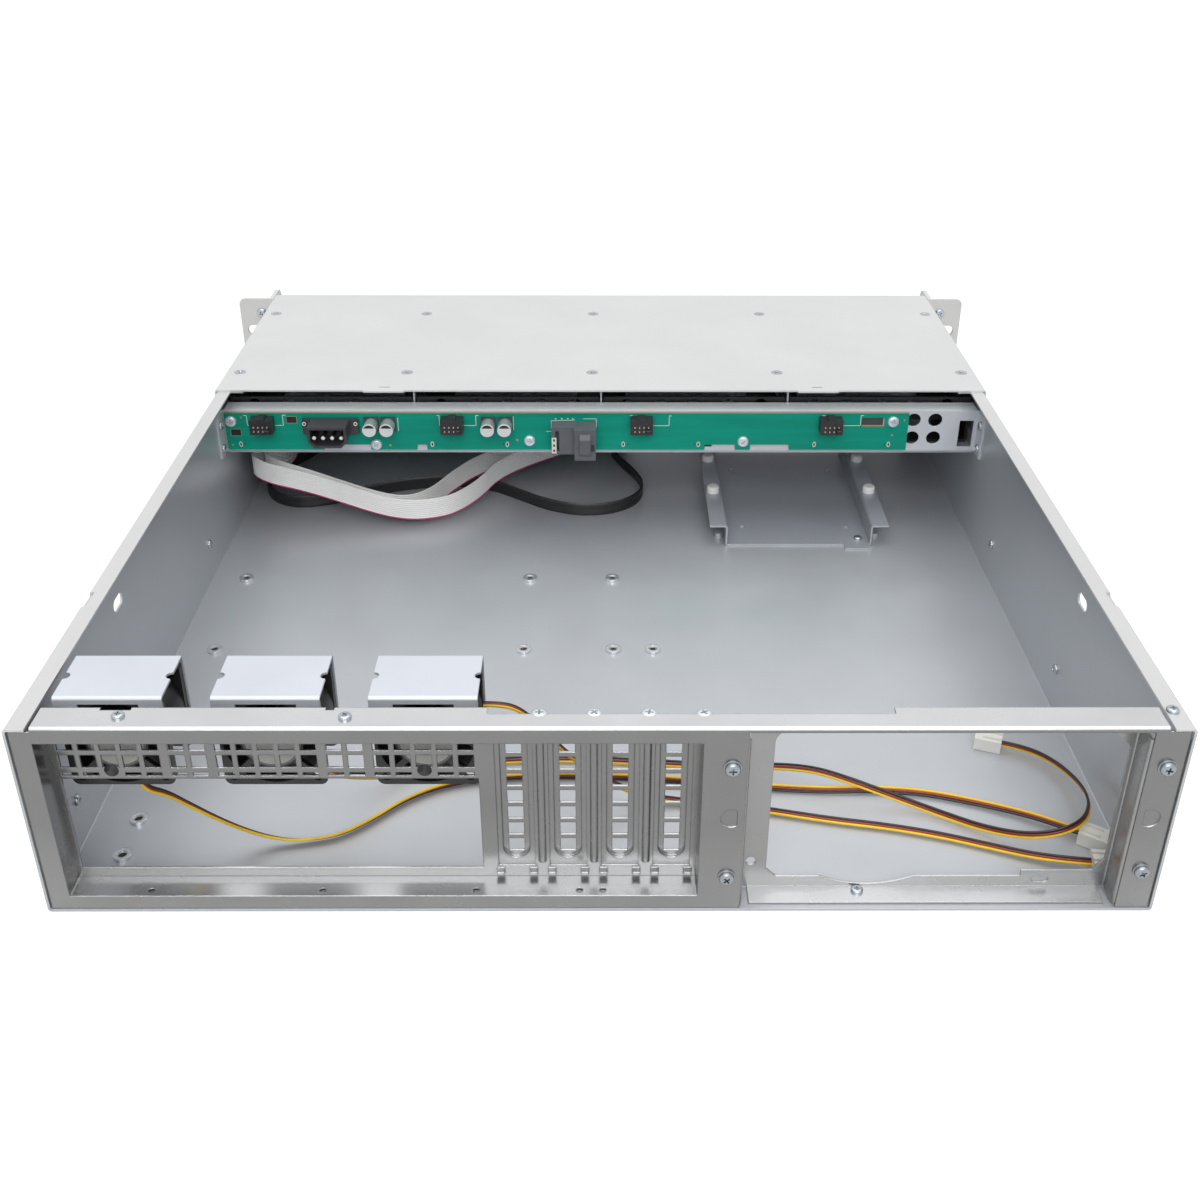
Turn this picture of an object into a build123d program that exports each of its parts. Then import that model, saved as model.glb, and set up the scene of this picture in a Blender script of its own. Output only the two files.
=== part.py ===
from build123d import *
import math
import os

# An empty 2U rackmount server case with its rear lid off, seen from the rear.
# Millimetres. X runs across, Y from the rear edge towards the front, Z up from the underside.
# Every piece is drawn from the rear edge line and moves back by origin_shift when it is written,
# so that the origin lies under the middle of the whole case.

os.makedirs("parts", exist_ok=True)

# Case body: one folded tray
case_width = 434.0
case_height = 88.0
case_depth = 480.0
sheet = 1.0
bend_radius = 0.6
wall_flange = 8.0
covered_flange = 15.0
fit = 0.3
screw_hole = 3.3
lid_notch = 86.0
lid_notch_length = 12.0
lid_notch_depth = 2.4
pull_hole_rear = 123.6
pull_hole_drop = 20.7
pull_hole_length = 12.0
pull_hole_width = 6.0
stud_diameter = 4.4
stud_height = 3.0
stud_margin = 3.2
stud_inset = 10.9

# Rear frame and its collar round the sunk panel
frame_setback = 0.5
rail_depth = 13.8
rail_gap = 1.5
rail_cutback = 4.0
rail_cutback_lead = 8.8
rail_cutback_past = 19.4
rail_notch_spans = ((0.3, 11.8), (24.3, 27.6))
rail_notch_depth = 1.6
window_margin = 9.5
window_bottom = 7.5
window_drop = 6.8
post_width = 16.6
power_bay_margin = 14.5
power_bay_drop = 2.0
dimple_rise = 2.0
dimple_inset = 5.0
dimple_radius = 4.2
dimple_flat = 2.2
ledge_hole = 2.6
ledge_hole_depth = 3.6
ledge_hole_steps = (31.1, 98.2, 158.5, 199.1, 208.2)

# Sunk panel: connector window, fan grille and card slots
sunk_depth = 12.0
panel_drop = 4.0
connector_margin = 2.1
connector_bottom = 11.8
connector_width = 158.75
connector_height = 44.45
grille_hole = 6.0
grille_pitch = 8.0
grille_columns = 5
grille_row_steps = (-4.6, 3.4)
grille_slit_step = -8.5
grille_slit_height = 1.7
plug_step = -5.8
plug_hole = 3.4
slot_margin = 13.45
slot_pitch = 20.32
slot_count = 4
slot_end_margin = 9.94
slot_window_width = 14.4
slot_window_bottom = 13.0
slot_window_drop = 4.0
slot_ledge_depth = 7.0
slot_ledge_past = 6.3
slot_screw_offset = 10.4
slot_screw_depth = 10.6
slot_rib_radius = 1.7
slot_rib_proud = 1.0
clip_spread = 13.0
clip_width = 3.0
clip_proud = 2.4

# Card slot covers
slot_cover_width = 18.4
slot_cover_bottom = 8.6
slot_tongue_width = 10.4
slot_dish_width = 12.6
slot_dish_bottom = 15.0
slot_dish_drop = 5.0
slot_dish_depth = 1.5
slot_hole = 6.0
slot_hole_pitch = 8.0
slot_hole_low = 18.6

# Power supply bracket
power_lip = 11.5
power_plate_drop = 6.0
power_open_lead = 11.2
power_open_end = 2.9
power_open_bottom = 7.0
power_open_drop = 9.0
power_corner_radius = 6.0
power_corner_cut = 8.0
power_low_cut = 4.0
power_dip_start = 0.16
power_dip_end = 0.44
power_dip_bottom = 3.0
power_step_start = 0.76
power_step_height = 10.0
power_foot_margin = 3.0
power_oval_inset = 27.1
power_oval_height = 5.2
power_oval_length = 7.0
power_oval_width = 3.0
power_small_hole = 4.0
power_small_hole_height = 15.0

# Fans and their hoods
fan_count = 3
fan_margin = 21.9
fan_pitch = 59.3
fan_size = 40.0
fan_depth = 28.0
fan_flange = 3.5
fan_corner = 3.0
fan_bore = 37.6
fan_barrel_wall = 0.9
fan_hole_spread = 32.0
fan_hole = 4.3
fan_rear = 21.5
fan_base_diameter = 24.0
fan_base_thickness = 2.2
fan_strut_width = 2.6
fan_strut_count = 4
rotor_gap = 0.6
rotor_hub = 22.0
rotor_length = 22.0
rotor_blades = 7
blade_chord = 19.0
blade_thickness = 1.1
blade_root_angle = 52.0
blade_tip_angle = 34.0
hood_drop = 1.4
hood_lip_height = 9.6
hood_foot_lip = 6.0
hood_width = 41.2
hood_slot_width = 23.0
hood_slot_height = 5.6
hood_notch_radius = 2.2
plug_head = 5.6
plug_head_height = 1.8
plug_stem = 2.6

# Front top cover
cover_length = 161.2
cover_overhang = 5.0
cover_side_lip = 10.0
cover_front_lip = 7.0
cover_front_lip_inset = 5.0
cover_tab_share = 0.565
cover_tab_width = 23.0
cover_tab_reach = 1.5
cover_slot_length = 6.0
cover_slot_width = 1.4
cover_slot_inset = 4.6
cover_screw_steps = (27.5, 129.4)
cover_screw_inset = 7.3
cover_screw_offset = 5.2
countersink = 7.2

# Drive cage, trays and levers
bay_count = 4
bay_margin = 2.0
cage_height = 38.0
shelf_lip = 8.0
divider_setback = 12.0
divider_flange = 10.0
tray_setback = 13.0
tray_rise = 0.5
tray_gap = 2.7
tray_height = 28.0
tray_side = 12.0
tray_wall = 1.2
tray_floor = 1.5
tray_frame = 14.0
tray_back_wall = 2.0
tray_back_height = 14.0
tray_back_hole = 8.0
tray_back_hole_drop = 5.0
tray_back_holes = 5
tray_face_depth = 7.0
vent_slot_width = 3.0
vent_slot_pitch = 6.0
vent_slot_height = 14.0
vent_slots = 3
lever_margin = 32.8
lever_height = 9.0
lever_thickness = 4.0
lever_barrel = 4.8
lever_pin = 2.4
lever_pivot_inset = 9.0
lever_bottom = 5.0
lever_gap = 0.6
lever_grip = 14.0

# Backplane and its bracket: heights are above the shelf, insets from the right side
backplane_gap = 0.2
backplane_rise = 2.0
backplane_height = 25.0
backplane_flange = 11.0
backplane_return = 13.0
backplane_hole = 8.0
backplane_hole_places = ((38.5, 21.2), (26.2, 21.2), (38.5, 10.2), (26.2, 10.2))
backplane_square = (12.0, 4.0, 4.5, 20.8)
board_thickness = 1.6
board_inset_left = 3.0
board_inset_right = 41.7
board_rise = 3.3
board_height = 22.7
board_notch_height = 3.2
board_notches_left = ((58.0, 85.0), (111.4, 117.2))
board_notches_right = ((157.5, 140.0), (131.3, 109.0))
board_window = (68.4, 55.2, 17.7, 23.2)
header_offset = -30.75
header_width = 12.6
header_rise = 16.0
header_height = 8.4
header_depth = 8.0
header_ridge = 0.8
socket_offset = 38.4
socket_width = 21.6
socket_wing_width = 31.6
socket_wing_thickness = 3.2
socket_rise = 11.0
socket_height = 12.4
socket_depth = 15.0
socket_wall = 1.4
socket_corner = 3.4
socket_pin = 2.2
socket_pin_pitch = 5.08
capacitor_steps = (61.4, 71.0)
capacitor_steps_second = (20.3, 29.9)
capacitor_rise = 19.6
capacitor_base = 8.4
capacitor_base_thickness = 1.6
capacitor_can = 7.8
capacitor_length = 10.0
drive_socket_offset = -12.0
drive_socket_width = 42.0
drive_socket_rise = 5.5
drive_socket_height = 7.0
drive_socket_reach = 11.0
drive_socket_slot = 3.0
data_socket_offset = -51.0
data_socket_width = 13.0
data_socket_rise = 4.5
data_socket_height = 16.5
data_socket_depth = 9.0
data_plug_width = 12.0
data_plug_rise = 2.5
data_plug_depth = 13.0
data_latch = 5.0

# Front bezel, rack ears and handles: offsets are from the case's left side
bezel_depth = 6.0
bezel_base = 0.5
bezel_vent_first = 24.0
bezel_vent_pitch = 8.0
bezel_vent_width = 4.0
bezel_vent_bottom = 12.0
bezel_vent_drop = 11.0
bezel_post = 6.0
bezel_post_low = 8.0
bezel_post_offsets = (77.0, 157.0)
port_rise = 1.0
usb_offsets = (41.0, 61.0)
usb_width = 13.2
usb_height = 5.8
usb_wall = 0.5
button_offset = 97.0
button_diameter = 12.0
button_round = 1.0
button_proud = 1.5
button_stem = 5.0
button_travel = 1.5
front_board_inset = 4.0
front_board_past = 8.0
front_board_bottom = 2.0
front_board_drop = 15.0
front_board_gap = 4.4
switch_size = 6.0
switch_height = 2.0
cable_header_depth = 11.0
ribbon_header_width = 8.0
ribbon_header_height = 18.0
data_header_width = 9.0
data_header_height = 7.6
ear_overhang = 24.3
ear_sheet = 2.0
ear_return = 40.0
ear_return_bottom = 4.0
ear_return_drop = 11.0
ear_corner = 4.0
cheek_thickness = 2.6
cheek_reach = 22.0
cheek_bottom = 4.0
cheek_radius = 6.0
rack_unit = 44.45
rack_slot_width = 7.0
rack_slot_length = 10.0
rack_slot_inset = 8.75
handle_offset = 10.0
handle_bar = 8.0
handle_edge = 2.4
handle_bend = 9.0
handle_reach = 26.0
handle_margin = 9.5

# Floor fittings
standoff_diameter = 7.6
standoff_height = 1.5
standoff_hole = 4.4
board_column_margin = 20.0
board_rear = 20.5
board_columns = (0.0, 157.48, 203.2, 223.52)
board_rows = (10.16, 33.02, 165.1, 237.49)
drive_bracket_margin = 59.7
drive_bracket_width = 85.0
drive_bracket_flange = 9.3
drive_bracket_height = 14.0
drive_bracket_lead = 21.8
drive_bracket_length = 122.0
drive_tab_width = 16.0
drive_tab_reach = 5.0
drive_hole_inset = 44.6
drive_hole_step = 44.45
small_drive_spread = 61.72
small_drive_step = 76.6
small_drive_inset = 21.0
small_drive_hole = 3.6
small_drive_slot = 7.0
drive_post_diameter = 7.4
drive_post_height = 4.0

# Cables: limp bundles of thin wires, two ribbons on edge and one flat data cable
wire_bundle = 3.6
wire_exit = 6.0
wire_exit_drop = 5.0
wire_side_run = 7.5
cord_share = 0.45
wire_plug_length = 12.0
wire_plug_width = 9.0
wire_plug_height = 6.0
ribbon_width = 12.7
ribbon_thickness = 0.9
ribbon_height = 20.0
flat_cable_width = 8.0
flat_cable_thickness = 1.2
flat_cable_height = 5.2
floor_line = 2.9
plug_line = 4.2

# Cable routes, laid out by hand in a case of this width
# A drop's heights are shares of its fan's underside or middle; ribbons count back from the front board
route_width = 434.0
fan_cable_1_drop = [(-173, 27.5, 0.8), (-165, 31, 0.6), (-156.5, 34, 0.4), (-147.5, 36.5, 0.23)]
fan_cable_1_run = [
    (-137.5, 38, 5), (-126, 38, floor_line), (-109.5, 41.5, floor_line), (-97, 52, floor_line),
    (-84, 66, floor_line), (-67, 76, floor_line), (-44, 80.5, floor_line), (-18, 81.5, floor_line),
    (10, 80.5, floor_line), (36, 78, floor_line), (58, 75, floor_line), (78, 72.6, floor_line),
    (98, 71, floor_line), (119, 71.8, floor_line), (141, 69.5, floor_line), (160, 63.5, floor_line),
    (177, 56.5, 3.4), (191, 48.5, plug_line), (201, 41.5, plug_line),
]
fan_cable_2_drop = [(-115.5, 52.5, 0.63), (-109.5, 62, 0.4), (-100, 72.5, 0.21)]
fan_cable_2_run = [
    (-87, 81.5, 3.6), (-70, 88, floor_line), (-48, 92, floor_line), (-24, 93.5, floor_line),
    (0, 92.5, floor_line), (25, 90.5, floor_line), (48, 88, floor_line), (66, 86.5, 4),
    (82, 82.5, 7), (95, 76.5, 9.6), (107, 70, 9.6), (120, 65.5, 7), (133, 61.5, 4), (147, 54, 3),
    (162, 44.5, 3.5), (177, 37, 6), (190, 35, 9.5), (200, 39, 11.6), (206, 48.5, 11.6),
    (208.5, 61, 9.5), (208, 75, 6.5), (203.5, 89, 4.6), (194.5, 99, plug_line), (183.5, 103, plug_line),
]
fan_cable_3_drop = [
    (-33, 48.2, 0.95), (-27, 50.6, 0.835), (-21, 53.6, 0.675), (-13.5, 57, 0.5), (-4, 60, 0.335),
    (7.5, 62.5, 0.18),
]
fan_cable_3_run = [
    (21, 64, 5), (37, 63.5, floor_line), (55, 61, floor_line), (75, 56.8, floor_line),
    (97, 51.3, floor_line), (120, 47.2, floor_line), (141, 41.8, floor_line), (160, 35, floor_line),
    (176, 28.6, 3.4), (190, 24.6, plug_line), (200, 23.4, plug_line),
]
ribbon_1_run = [
    (-206.5, 0), (-206.5, 26), (-205, 52), (-203, 78), (-204, 100), (-210.5, 122), (-198, 131.5),
    (-179, 132.5), (-158, 134.5), (-131, 140), (-114.5, 142), (-101, 140.5), (-87.5, 135), (-73.5, 118),
    (-64.5, 98), (-45, 79.5), (-19, 61.5), (-4, 43), (2, 22), (2, 0),
]
ribbon_2_run = [
    (-196.5, 0), (-196.5, 26), (-195.5, 52), (-193.5, 76), (-196, 97), (-204.5, 114), (-194, 125),
    (-177, 128), (-157.5, 130.5), (-131, 136), (-114.5, 137.5), (-101.5, 127), (-90.5, 107), (-77, 90),
    (-55, 74.5), (-36, 61.5), (-22, 44), (-16, 22), (-16, 0),
]
data_cable_run = [
    (-180, 0), (-180, 20), (-187, 41), (-198, 60), (-207, 79), (-208.5, 97), (-200, 112.5),
    (-184, 119), (-166, 114.5), (-149, 105.5), (-130, 96.5), (-108, 90), (-86, 88.5), (-66, 95.5),
    (-49, 109), (-33, 121.5), (-14, 129), (6, 127), (21, 116), (27, 99), (22, 80), (12.5, 61),
    (6, 42), (8, 21), (8, 0),
]

# Lines across the case that several pieces share
half = case_width / 2
inner = half - sheet
rail_half = half - wall_flange - rail_gap
window_left = window_margin - half
connector_left = window_left + connector_margin
slot_first = connector_left + connector_width + slot_margin
slot_centres = [slot_first + slot_pitch * index for index in range(slot_count)]
window_right = slot_centres[-1] + slot_end_margin
slot_ledge_right = window_right + slot_ledge_past
post_right = window_right + post_width
power_bay_right = half - power_bay_margin
power_open_left = post_right + power_open_lead
power_open_right = power_bay_right - power_open_end
rail_cutback_left = slot_first - rail_cutback_lead
rail_cutback_right = (post_right + power_bay_right) / 2 - rail_cutback_past
fan_centres = [window_left + fan_margin + fan_pitch * index for index in range(fan_count)]
bay_pitch = (case_width - 2 * bay_margin) / bay_count
bay_centres = [bay_pitch * (index - (bay_count - 1) / 2) for index in range(bay_count)]
divider_lines = [bay_pitch * (index - bay_count / 2) for index in range(1, bay_count)]
tray_width = bay_pitch - tray_gap
tray_back_hole_pitch = tray_width / (tray_back_holes + 0.45)
lever_length = tray_width - lever_margin
header_places = [centre + header_offset for centre in bay_centres]
drive_socket_places = [centre + drive_socket_offset for centre in bay_centres]
capacitor_places = [header_places[0] + step for step in capacitor_steps]
capacitor_places += [header_places[1] + step for step in capacitor_steps_second]
data_socket_left = header_places[2] + data_socket_offset
drive_bracket_right = half - drive_bracket_margin
drive_bracket_left = drive_bracket_right - drive_bracket_width
drive_bracket_middle = drive_bracket_left + drive_bracket_width / 2
cover_screw_columns = [line - cover_screw_offset for line in divider_lines]
cover_screw_columns += [cover_screw_inset - half, half - cover_screw_inset]
rack_slot_x = half + ear_overhang - rack_slot_inset
handle_x = half + handle_offset
button_x = button_offset - half
usb_places = [offset - half for offset in usb_offsets]

# Lines along the case
front = case_depth
frame_front = frame_setback + sheet
panel_front = sunk_depth + sheet
fan_front = fan_rear + fan_depth
cover_rear = case_depth - cover_length
backplane_front = cover_rear + backplane_gap
board_back = backplane_front - sheet - board_thickness
divider_rear = backplane_front + divider_setback
tray_rear = backplane_front + tray_setback
drive_bracket_rear = cover_rear - drive_bracket_lead
front_board_front = front - front_board_gap
cable_end = front_board_front - board_thickness - cable_header_depth
origin_shift = (case_depth + ear_sheet + handle_reach) / 2

# Lines up the case
window_top = case_height - window_drop
panel_top = case_height - panel_drop
slot_window_top = panel_top - slot_window_drop
slot_dish_top = panel_top - slot_dish_drop
slot_hole_count = int((slot_dish_top - slot_hole_low - slot_dish_width / 4) / slot_hole_pitch)
power_bay_top = case_height - power_bay_drop
power_plate_top = case_height - power_plate_drop
power_open_top = case_height - power_open_drop
hood_under = case_height - hood_drop
hood_foot = hood_under - hood_lip_height
fan_middle = hood_under - bend_radius - fan_size / 2
fan_under = fan_middle - fan_size / 2
shelf_height = case_height - cage_height
tray_base = shelf_height + sheet + tray_rise
backplane_bottom = shelf_height + backplane_rise
backplane_top = backplane_bottom + backplane_height
board_bottom = shelf_height + board_rise
socket_bottom = shelf_height + socket_rise
data_socket_top = shelf_height + data_socket_rise + data_socket_height
bezel_top = shelf_height + sheet
port_height = shelf_height / 2 + port_rise
front_board_top = bezel_top - front_board_drop
ear_return_top = case_height - ear_return_drop
rack_heights = [case_height / 2 - rack_unit / 2, case_height / 2 + rack_unit / 2]
handle_heights = [handle_margin, case_height - handle_margin]


def rect(x0, x1, y0, y1):
    """A flat rectangle between two corners."""
    return Pos((x0 + x1) / 2, (y0 + y1) / 2) * Rectangle(x1 - x0, y1 - y0)


def along_x(face, x0, x1):
    """Draw a (Y, Z) outline out from x0 to x1."""
    return extrude(Plane.YZ.offset(x0) * face, amount=x1 - x0)


def along_y(face, y0, y1):
    """Draw an (X, Z) outline out from y0 to y1."""
    return extrude(Plane.XZ.offset(-y1) * face, amount=y1 - y0)


def along_z(face, z0, z1):
    """Draw an (X, Y) outline out from z0 to z1."""
    return extrude(Plane.XY.offset(z0) * face, amount=z1 - z0)


def outline(*points):
    """A closed flat outline through its corner points."""
    return make_face(Polyline(*points, close=True))


def spots(face, places):
    """Copies of one flat shape at a list of (x, y) places."""
    return [Pos(x, y) * face for x, y in places]


def both_sides(solid):
    """A piece and its mirror image on the other side of the case."""
    return solid + mirror(solid, about=Plane.YZ)


def round_corner(face, corner, radius):
    """Round the corner of a flat shape that lies nearest to a point."""
    nearest = min(face.vertices(), key=lambda vertex: (Vector(*vertex) - Vector(*corner)).length)
    return fillet(nearest, radius)


def folded(path, thickness=sheet, side=1):
    """Section of a folded sheet: the path is one skin, the sheet lies to its left (1) or right (-1)."""
    skin = [Vector(*point) for point in path]
    runs = [(b - a).normalized() for a, b in zip(skin, skin[1:])]
    normals = [Vector(-run.Y, run.X) * side for run in runs]
    back = [skin[0] + normals[0] * thickness]
    for index in range(1, len(skin) - 1):
        first, second = normals[index - 1], normals[index]
        back.append(skin[index] + (first + second) * (thickness / (1 + first.dot(second))))
    back.append(skin[-1] + normals[-1] * thickness)
    section = outline(*[(point.X, point.Y) for point in skin + back[::-1]])
    for index in range(1, len(skin) - 1):
        turn = runs[index - 1].cross(runs[index]).Z * side
        inside, outside = (back[index], skin[index]) if turn > 0 else (skin[index], back[index])
        section = round_corner(section, inside, bend_radius)
        section = round_corner(section, outside, bend_radius + thickness)
    return section


def chassis_tray():
    """Floor, side walls and inward top flanges folded from one sheet."""
    path = [(wall_flange - half, case_height), (-half, case_height), (-half, 0)]
    path += [(-x, z) for x, z in reversed(path)]
    tray = along_y(folded(path), 0, case_depth)
    strip = rect(half - covered_flange, half - wall_flange, cover_rear + fit, case_depth)
    tray += both_sides(along_z(strip, case_height - sheet, case_height))
    notch = rect(lid_notch, lid_notch + lid_notch_length, case_height - lid_notch_depth, case_height)
    tray -= both_sides(along_x(notch, half - lid_notch_depth, half))
    pull_height = case_height - pull_hole_drop
    pull = Pos(pull_hole_rear, pull_height) * SlotOverall(pull_hole_length, pull_hole_width)
    tray -= both_sides(along_x(pull, inner, half))
    columns = (drive_bracket_left - stud_margin, drive_bracket_right + stud_margin)
    studs = spots(Circle(stud_diameter / 2), [(x, drive_bracket_rear + stud_inset) for x in columns])
    return tray + along_z(Sketch() + studs, sheet, sheet + stud_height)


def rear_frame():
    """A flat ring with a top rail folded inwards and a collar bent in round the window."""
    power_bay = rect(post_right, power_bay_right, 0, power_bay_top)
    face = rect(bend_radius - inner, inner - bend_radius, sheet, case_height - sheet - bend_radius)
    face -= rect(window_left, window_right, window_bottom, window_top)
    frame = along_y(face, frame_setback, frame_front)
    bend = [(frame_setback, window_top), (frame_setback, case_height), (rail_depth, case_height)]
    rail = along_x(folded(bend, side=-1), -rail_half, rail_half)
    cuts = rect(rail_cutback_left, rail_cutback_right, rail_depth - rail_cutback, rail_depth)
    for centre, (start, end) in zip(fan_centres, rail_notch_spans):
        cuts += rect(centre + start, centre + end, rail_depth - rail_notch_depth, rail_depth)
    frame += rail - along_z(cuts, case_height - sheet, case_height)
    frame -= along_y(power_bay, frame_setback, frame_front)
    turns = [(window_left, window_top), (window_left, window_bottom)]
    turns += [(window_right, window_bottom), (window_right, window_top)]
    frame += along_y(folded(turns, side=-1), frame_front, sunk_depth)
    holes = spots(Circle(ledge_hole / 2), [(window_left + x, ledge_hole_depth) for x in ledge_hole_steps])
    frame -= along_z(Sketch() + holes, window_bottom - sheet, window_bottom)
    dimple = Circle(dimple_radius) - rect(dimple_flat, dimple_radius, -dimple_radius, dimple_radius)
    dimple_height = case_height / 2 + dimple_rise
    marks = Pos(post_right - dimple_inset, dimple_height) * dimple
    marks += Pos(power_bay_right + dimple_inset, dimple_height) * Rot(0, 0, 180) * dimple
    return frame - along_y(marks, frame_setback, frame_setback + sheet / 2)


def grille_holes():
    """Square air holes and slits behind each fan, with two more columns between neighbours."""
    columns = []
    for number, centre in enumerate(fan_centres):
        columns += [centre + grille_pitch * (index - grille_columns // 2) for index in range(grille_columns)]
        if number:
            between = centre - fan_pitch / 2
            columns += [between - grille_pitch / 2, between + grille_pitch / 2]
    square = Rectangle(grille_hole, grille_hole)
    slit = Rectangle(grille_hole, grille_slit_height)
    rows = [fan_middle + step + grille_hole / 2 for step in grille_row_steps]
    places = [(x, z) for x in columns for z in rows]
    plugged = [fan_centres[0], fan_centres[-1]]
    slit_height = fan_middle + grille_slit_step + grille_slit_height / 2
    slits = [(x, slit_height) for x in columns if x not in plugged]
    plugs = spots(Circle(plug_hole / 2), [(x, fan_middle + plug_step) for x in plugged])
    return spots(square, places) + spots(slit, slits) + plugs


def rear_io_panel():
    """The sunk panel: connector window, fan grille, card slots, ribs, clips and the ledge for tabs."""
    face = rect(window_left - sheet, slot_ledge_right, window_bottom - sheet, panel_top)
    connector = rect(0, connector_width, 0, connector_height)
    face -= Pos(connector_left, connector_bottom) * connector
    face -= grille_holes()
    window = rect(-slot_window_width / 2, slot_window_width / 2, slot_window_bottom, slot_window_top)
    face -= spots(window, [(centre, 0) for centre in slot_centres])
    panel = along_y(face, sunk_depth, panel_front)
    ledge = rect(rail_cutback_left, slot_ledge_right, sunk_depth - slot_ledge_depth, panel_front)
    holes = spots(Circle(screw_hole / 2), [(x + slot_screw_offset, slot_screw_depth) for x in slot_centres])
    panel += along_z(ledge - holes, panel_top - sheet, panel_top)
    ridge = Pos(0, sunk_depth - slot_rib_proud + slot_rib_radius) * Circle(slot_rib_radius)
    ridge &= rect(-slot_rib_radius, slot_rib_radius, sunk_depth - slot_rib_proud, panel_front)
    ribs = [centre + slot_pitch / 2 for centre in slot_centres[:-1]]
    ridges = Sketch() + spots(ridge, [(x, 0) for x in ribs])
    panel += along_z(ridges, slot_dish_bottom, slot_window_top)
    hook = outline(
        (sunk_depth, slot_cover_bottom), (sunk_depth - clip_proud, slot_cover_bottom + 1),
        (sunk_depth - clip_proud, slot_window_bottom - 2), (sunk_depth, slot_window_bottom - 1),
    )
    for centre in slot_centres:
        for x in (centre - clip_spread / 2, centre + clip_spread / 2):
            panel += along_x(hook, x - clip_width / 2, x + clip_width / 2)
    return panel


def slot_cover(centre):
    """A card slot cover: a tongued plate with a pierced dish and a bent tab notched for its screw."""
    side = slot_cover_width / 2
    tongue = slot_tongue_width / 2
    shoulder = slot_window_bottom
    face = outline(
        (-side, panel_top), (-side, shoulder), (-tongue, slot_cover_bottom), (tongue, slot_cover_bottom),
        (side, shoulder), (side, panel_top),
    )
    length = slot_dish_top - slot_dish_bottom
    middle = (slot_dish_top + slot_dish_bottom) / 2
    dish = Pos(0, middle) * Rot(0, 0, 90) * SlotOverall(length, slot_dish_width)
    hollow = Pos(0, middle) * Rot(0, 0, 90) * SlotOverall(length - 2 * sheet, slot_dish_width - 2 * sheet)
    low = slot_hole_low + slot_hole / 2
    rows = [(0, low + slot_hole_pitch * index) for index in range(slot_hole_count)]
    floor = panel_front + slot_dish_depth
    cover = along_y(face, panel_front, panel_front + sheet) + along_y(dish, panel_front, floor + sheet)
    cover -= along_y(hollow, panel_front, floor)
    cover -= along_y(Sketch() + spots(Rectangle(slot_hole, slot_hole), rows), floor, floor + sheet)
    tab = rect(-side, slot_screw_offset - fit, sunk_depth - slot_ledge_depth, panel_front + sheet)
    tab -= Pos(slot_screw_offset, slot_screw_depth) * Circle(screw_hole / 2)
    cover += along_z(tab, panel_top, panel_top + sheet)
    return Pos(centre, 0, 0) * cover


def power_opening():
    """The outline of the power supply opening, with a shallow dip in its lower edge."""
    left, right = power_open_left, power_open_right
    low, high = power_open_bottom, power_open_top
    dip_left = left + power_dip_start * (right - left)
    dip_right = left + power_dip_end * (right - left)
    step = left + power_step_start * (right - left)
    edge = Polyline(
        (dip_left, low), (left + power_low_cut, low), (left, low + power_low_cut), (left, high),
        (right - power_corner_cut, high), (right, high - power_corner_cut),
        (right, power_step_height + 1.5 * power_low_cut), (right - power_low_cut, power_step_height),
        (step, power_step_height), (step, low), (dip_right, low),
    )
    middle = ((dip_left + dip_right) / 2, power_dip_bottom)
    edge += ThreePointArc((dip_right, low), middle, (dip_left, low))
    return round_corner(make_face(edge), (left, high), power_corner_radius)


def psu_bracket():
    """The power supply's mounting plate, sunk between two side flanges with lips on the frame's posts."""
    left = post_right + sheet
    right = power_bay_right - sheet
    path = [(post_right - power_lip, frame_front), (left, frame_front), (left, sunk_depth)]
    path += [(right, sunk_depth), (right, frame_front), (inner - fit, frame_front)]
    bracket = along_z(folded(path), 2 * sheet, power_plate_top)
    foot = rect(left + power_foot_margin, right - power_foot_margin, frame_front + sheet, panel_front)
    bracket += along_z(foot, sheet, 2 * sheet)
    holes = power_opening()
    oval = SlotOverall(power_oval_length, power_oval_width)
    holes += Pos(power_bay_right - power_oval_inset, power_oval_height) * oval
    holes += Pos(left + power_small_hole, power_small_hole_height) * Circle(power_small_hole / 2)
    return bracket - along_y(holes, sunk_depth, panel_front)


def fan_screw_places(centre):
    """The four mounting holes of a fan."""
    step = fan_hole_spread / 2
    return [(centre + x, fan_middle + z) for x in (-step, step) for z in (-step, step)]


def fan_hood(centre):
    """A folded hood: foot on the sunk panel, slotted rear lip, top plate and a wall in front of the fan."""
    path = [(panel_front, hood_foot + hood_foot_lip), (panel_front, hood_foot), (fan_rear, hood_foot)]
    path += [(fan_rear, hood_under), (fan_front, hood_under), (fan_front, fan_under)]
    edge = hood_width / 2
    hood = along_x(folded(path), centre - edge, centre + edge)
    low = hood_foot + 2 * sheet
    slot = rect(centre - hood_slot_width / 2, centre + hood_slot_width / 2, low, low + hood_slot_height)
    hood -= along_y(slot, fan_rear - sheet, fan_rear)
    bite = Circle(hood_notch_radius)
    bites = spots(bite, [(centre + side * edge, (fan_rear + fan_front) / 2) for side in (-1, 1)])
    hood -= along_z(Sketch() + bites, hood_under, hood_under + sheet)
    air = Pos(centre, fan_middle) * Circle(fan_bore / 2)
    air += spots(Circle(screw_hole / 2), fan_screw_places(centre))
    return hood - along_y(air, fan_front, fan_front + sheet)


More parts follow.
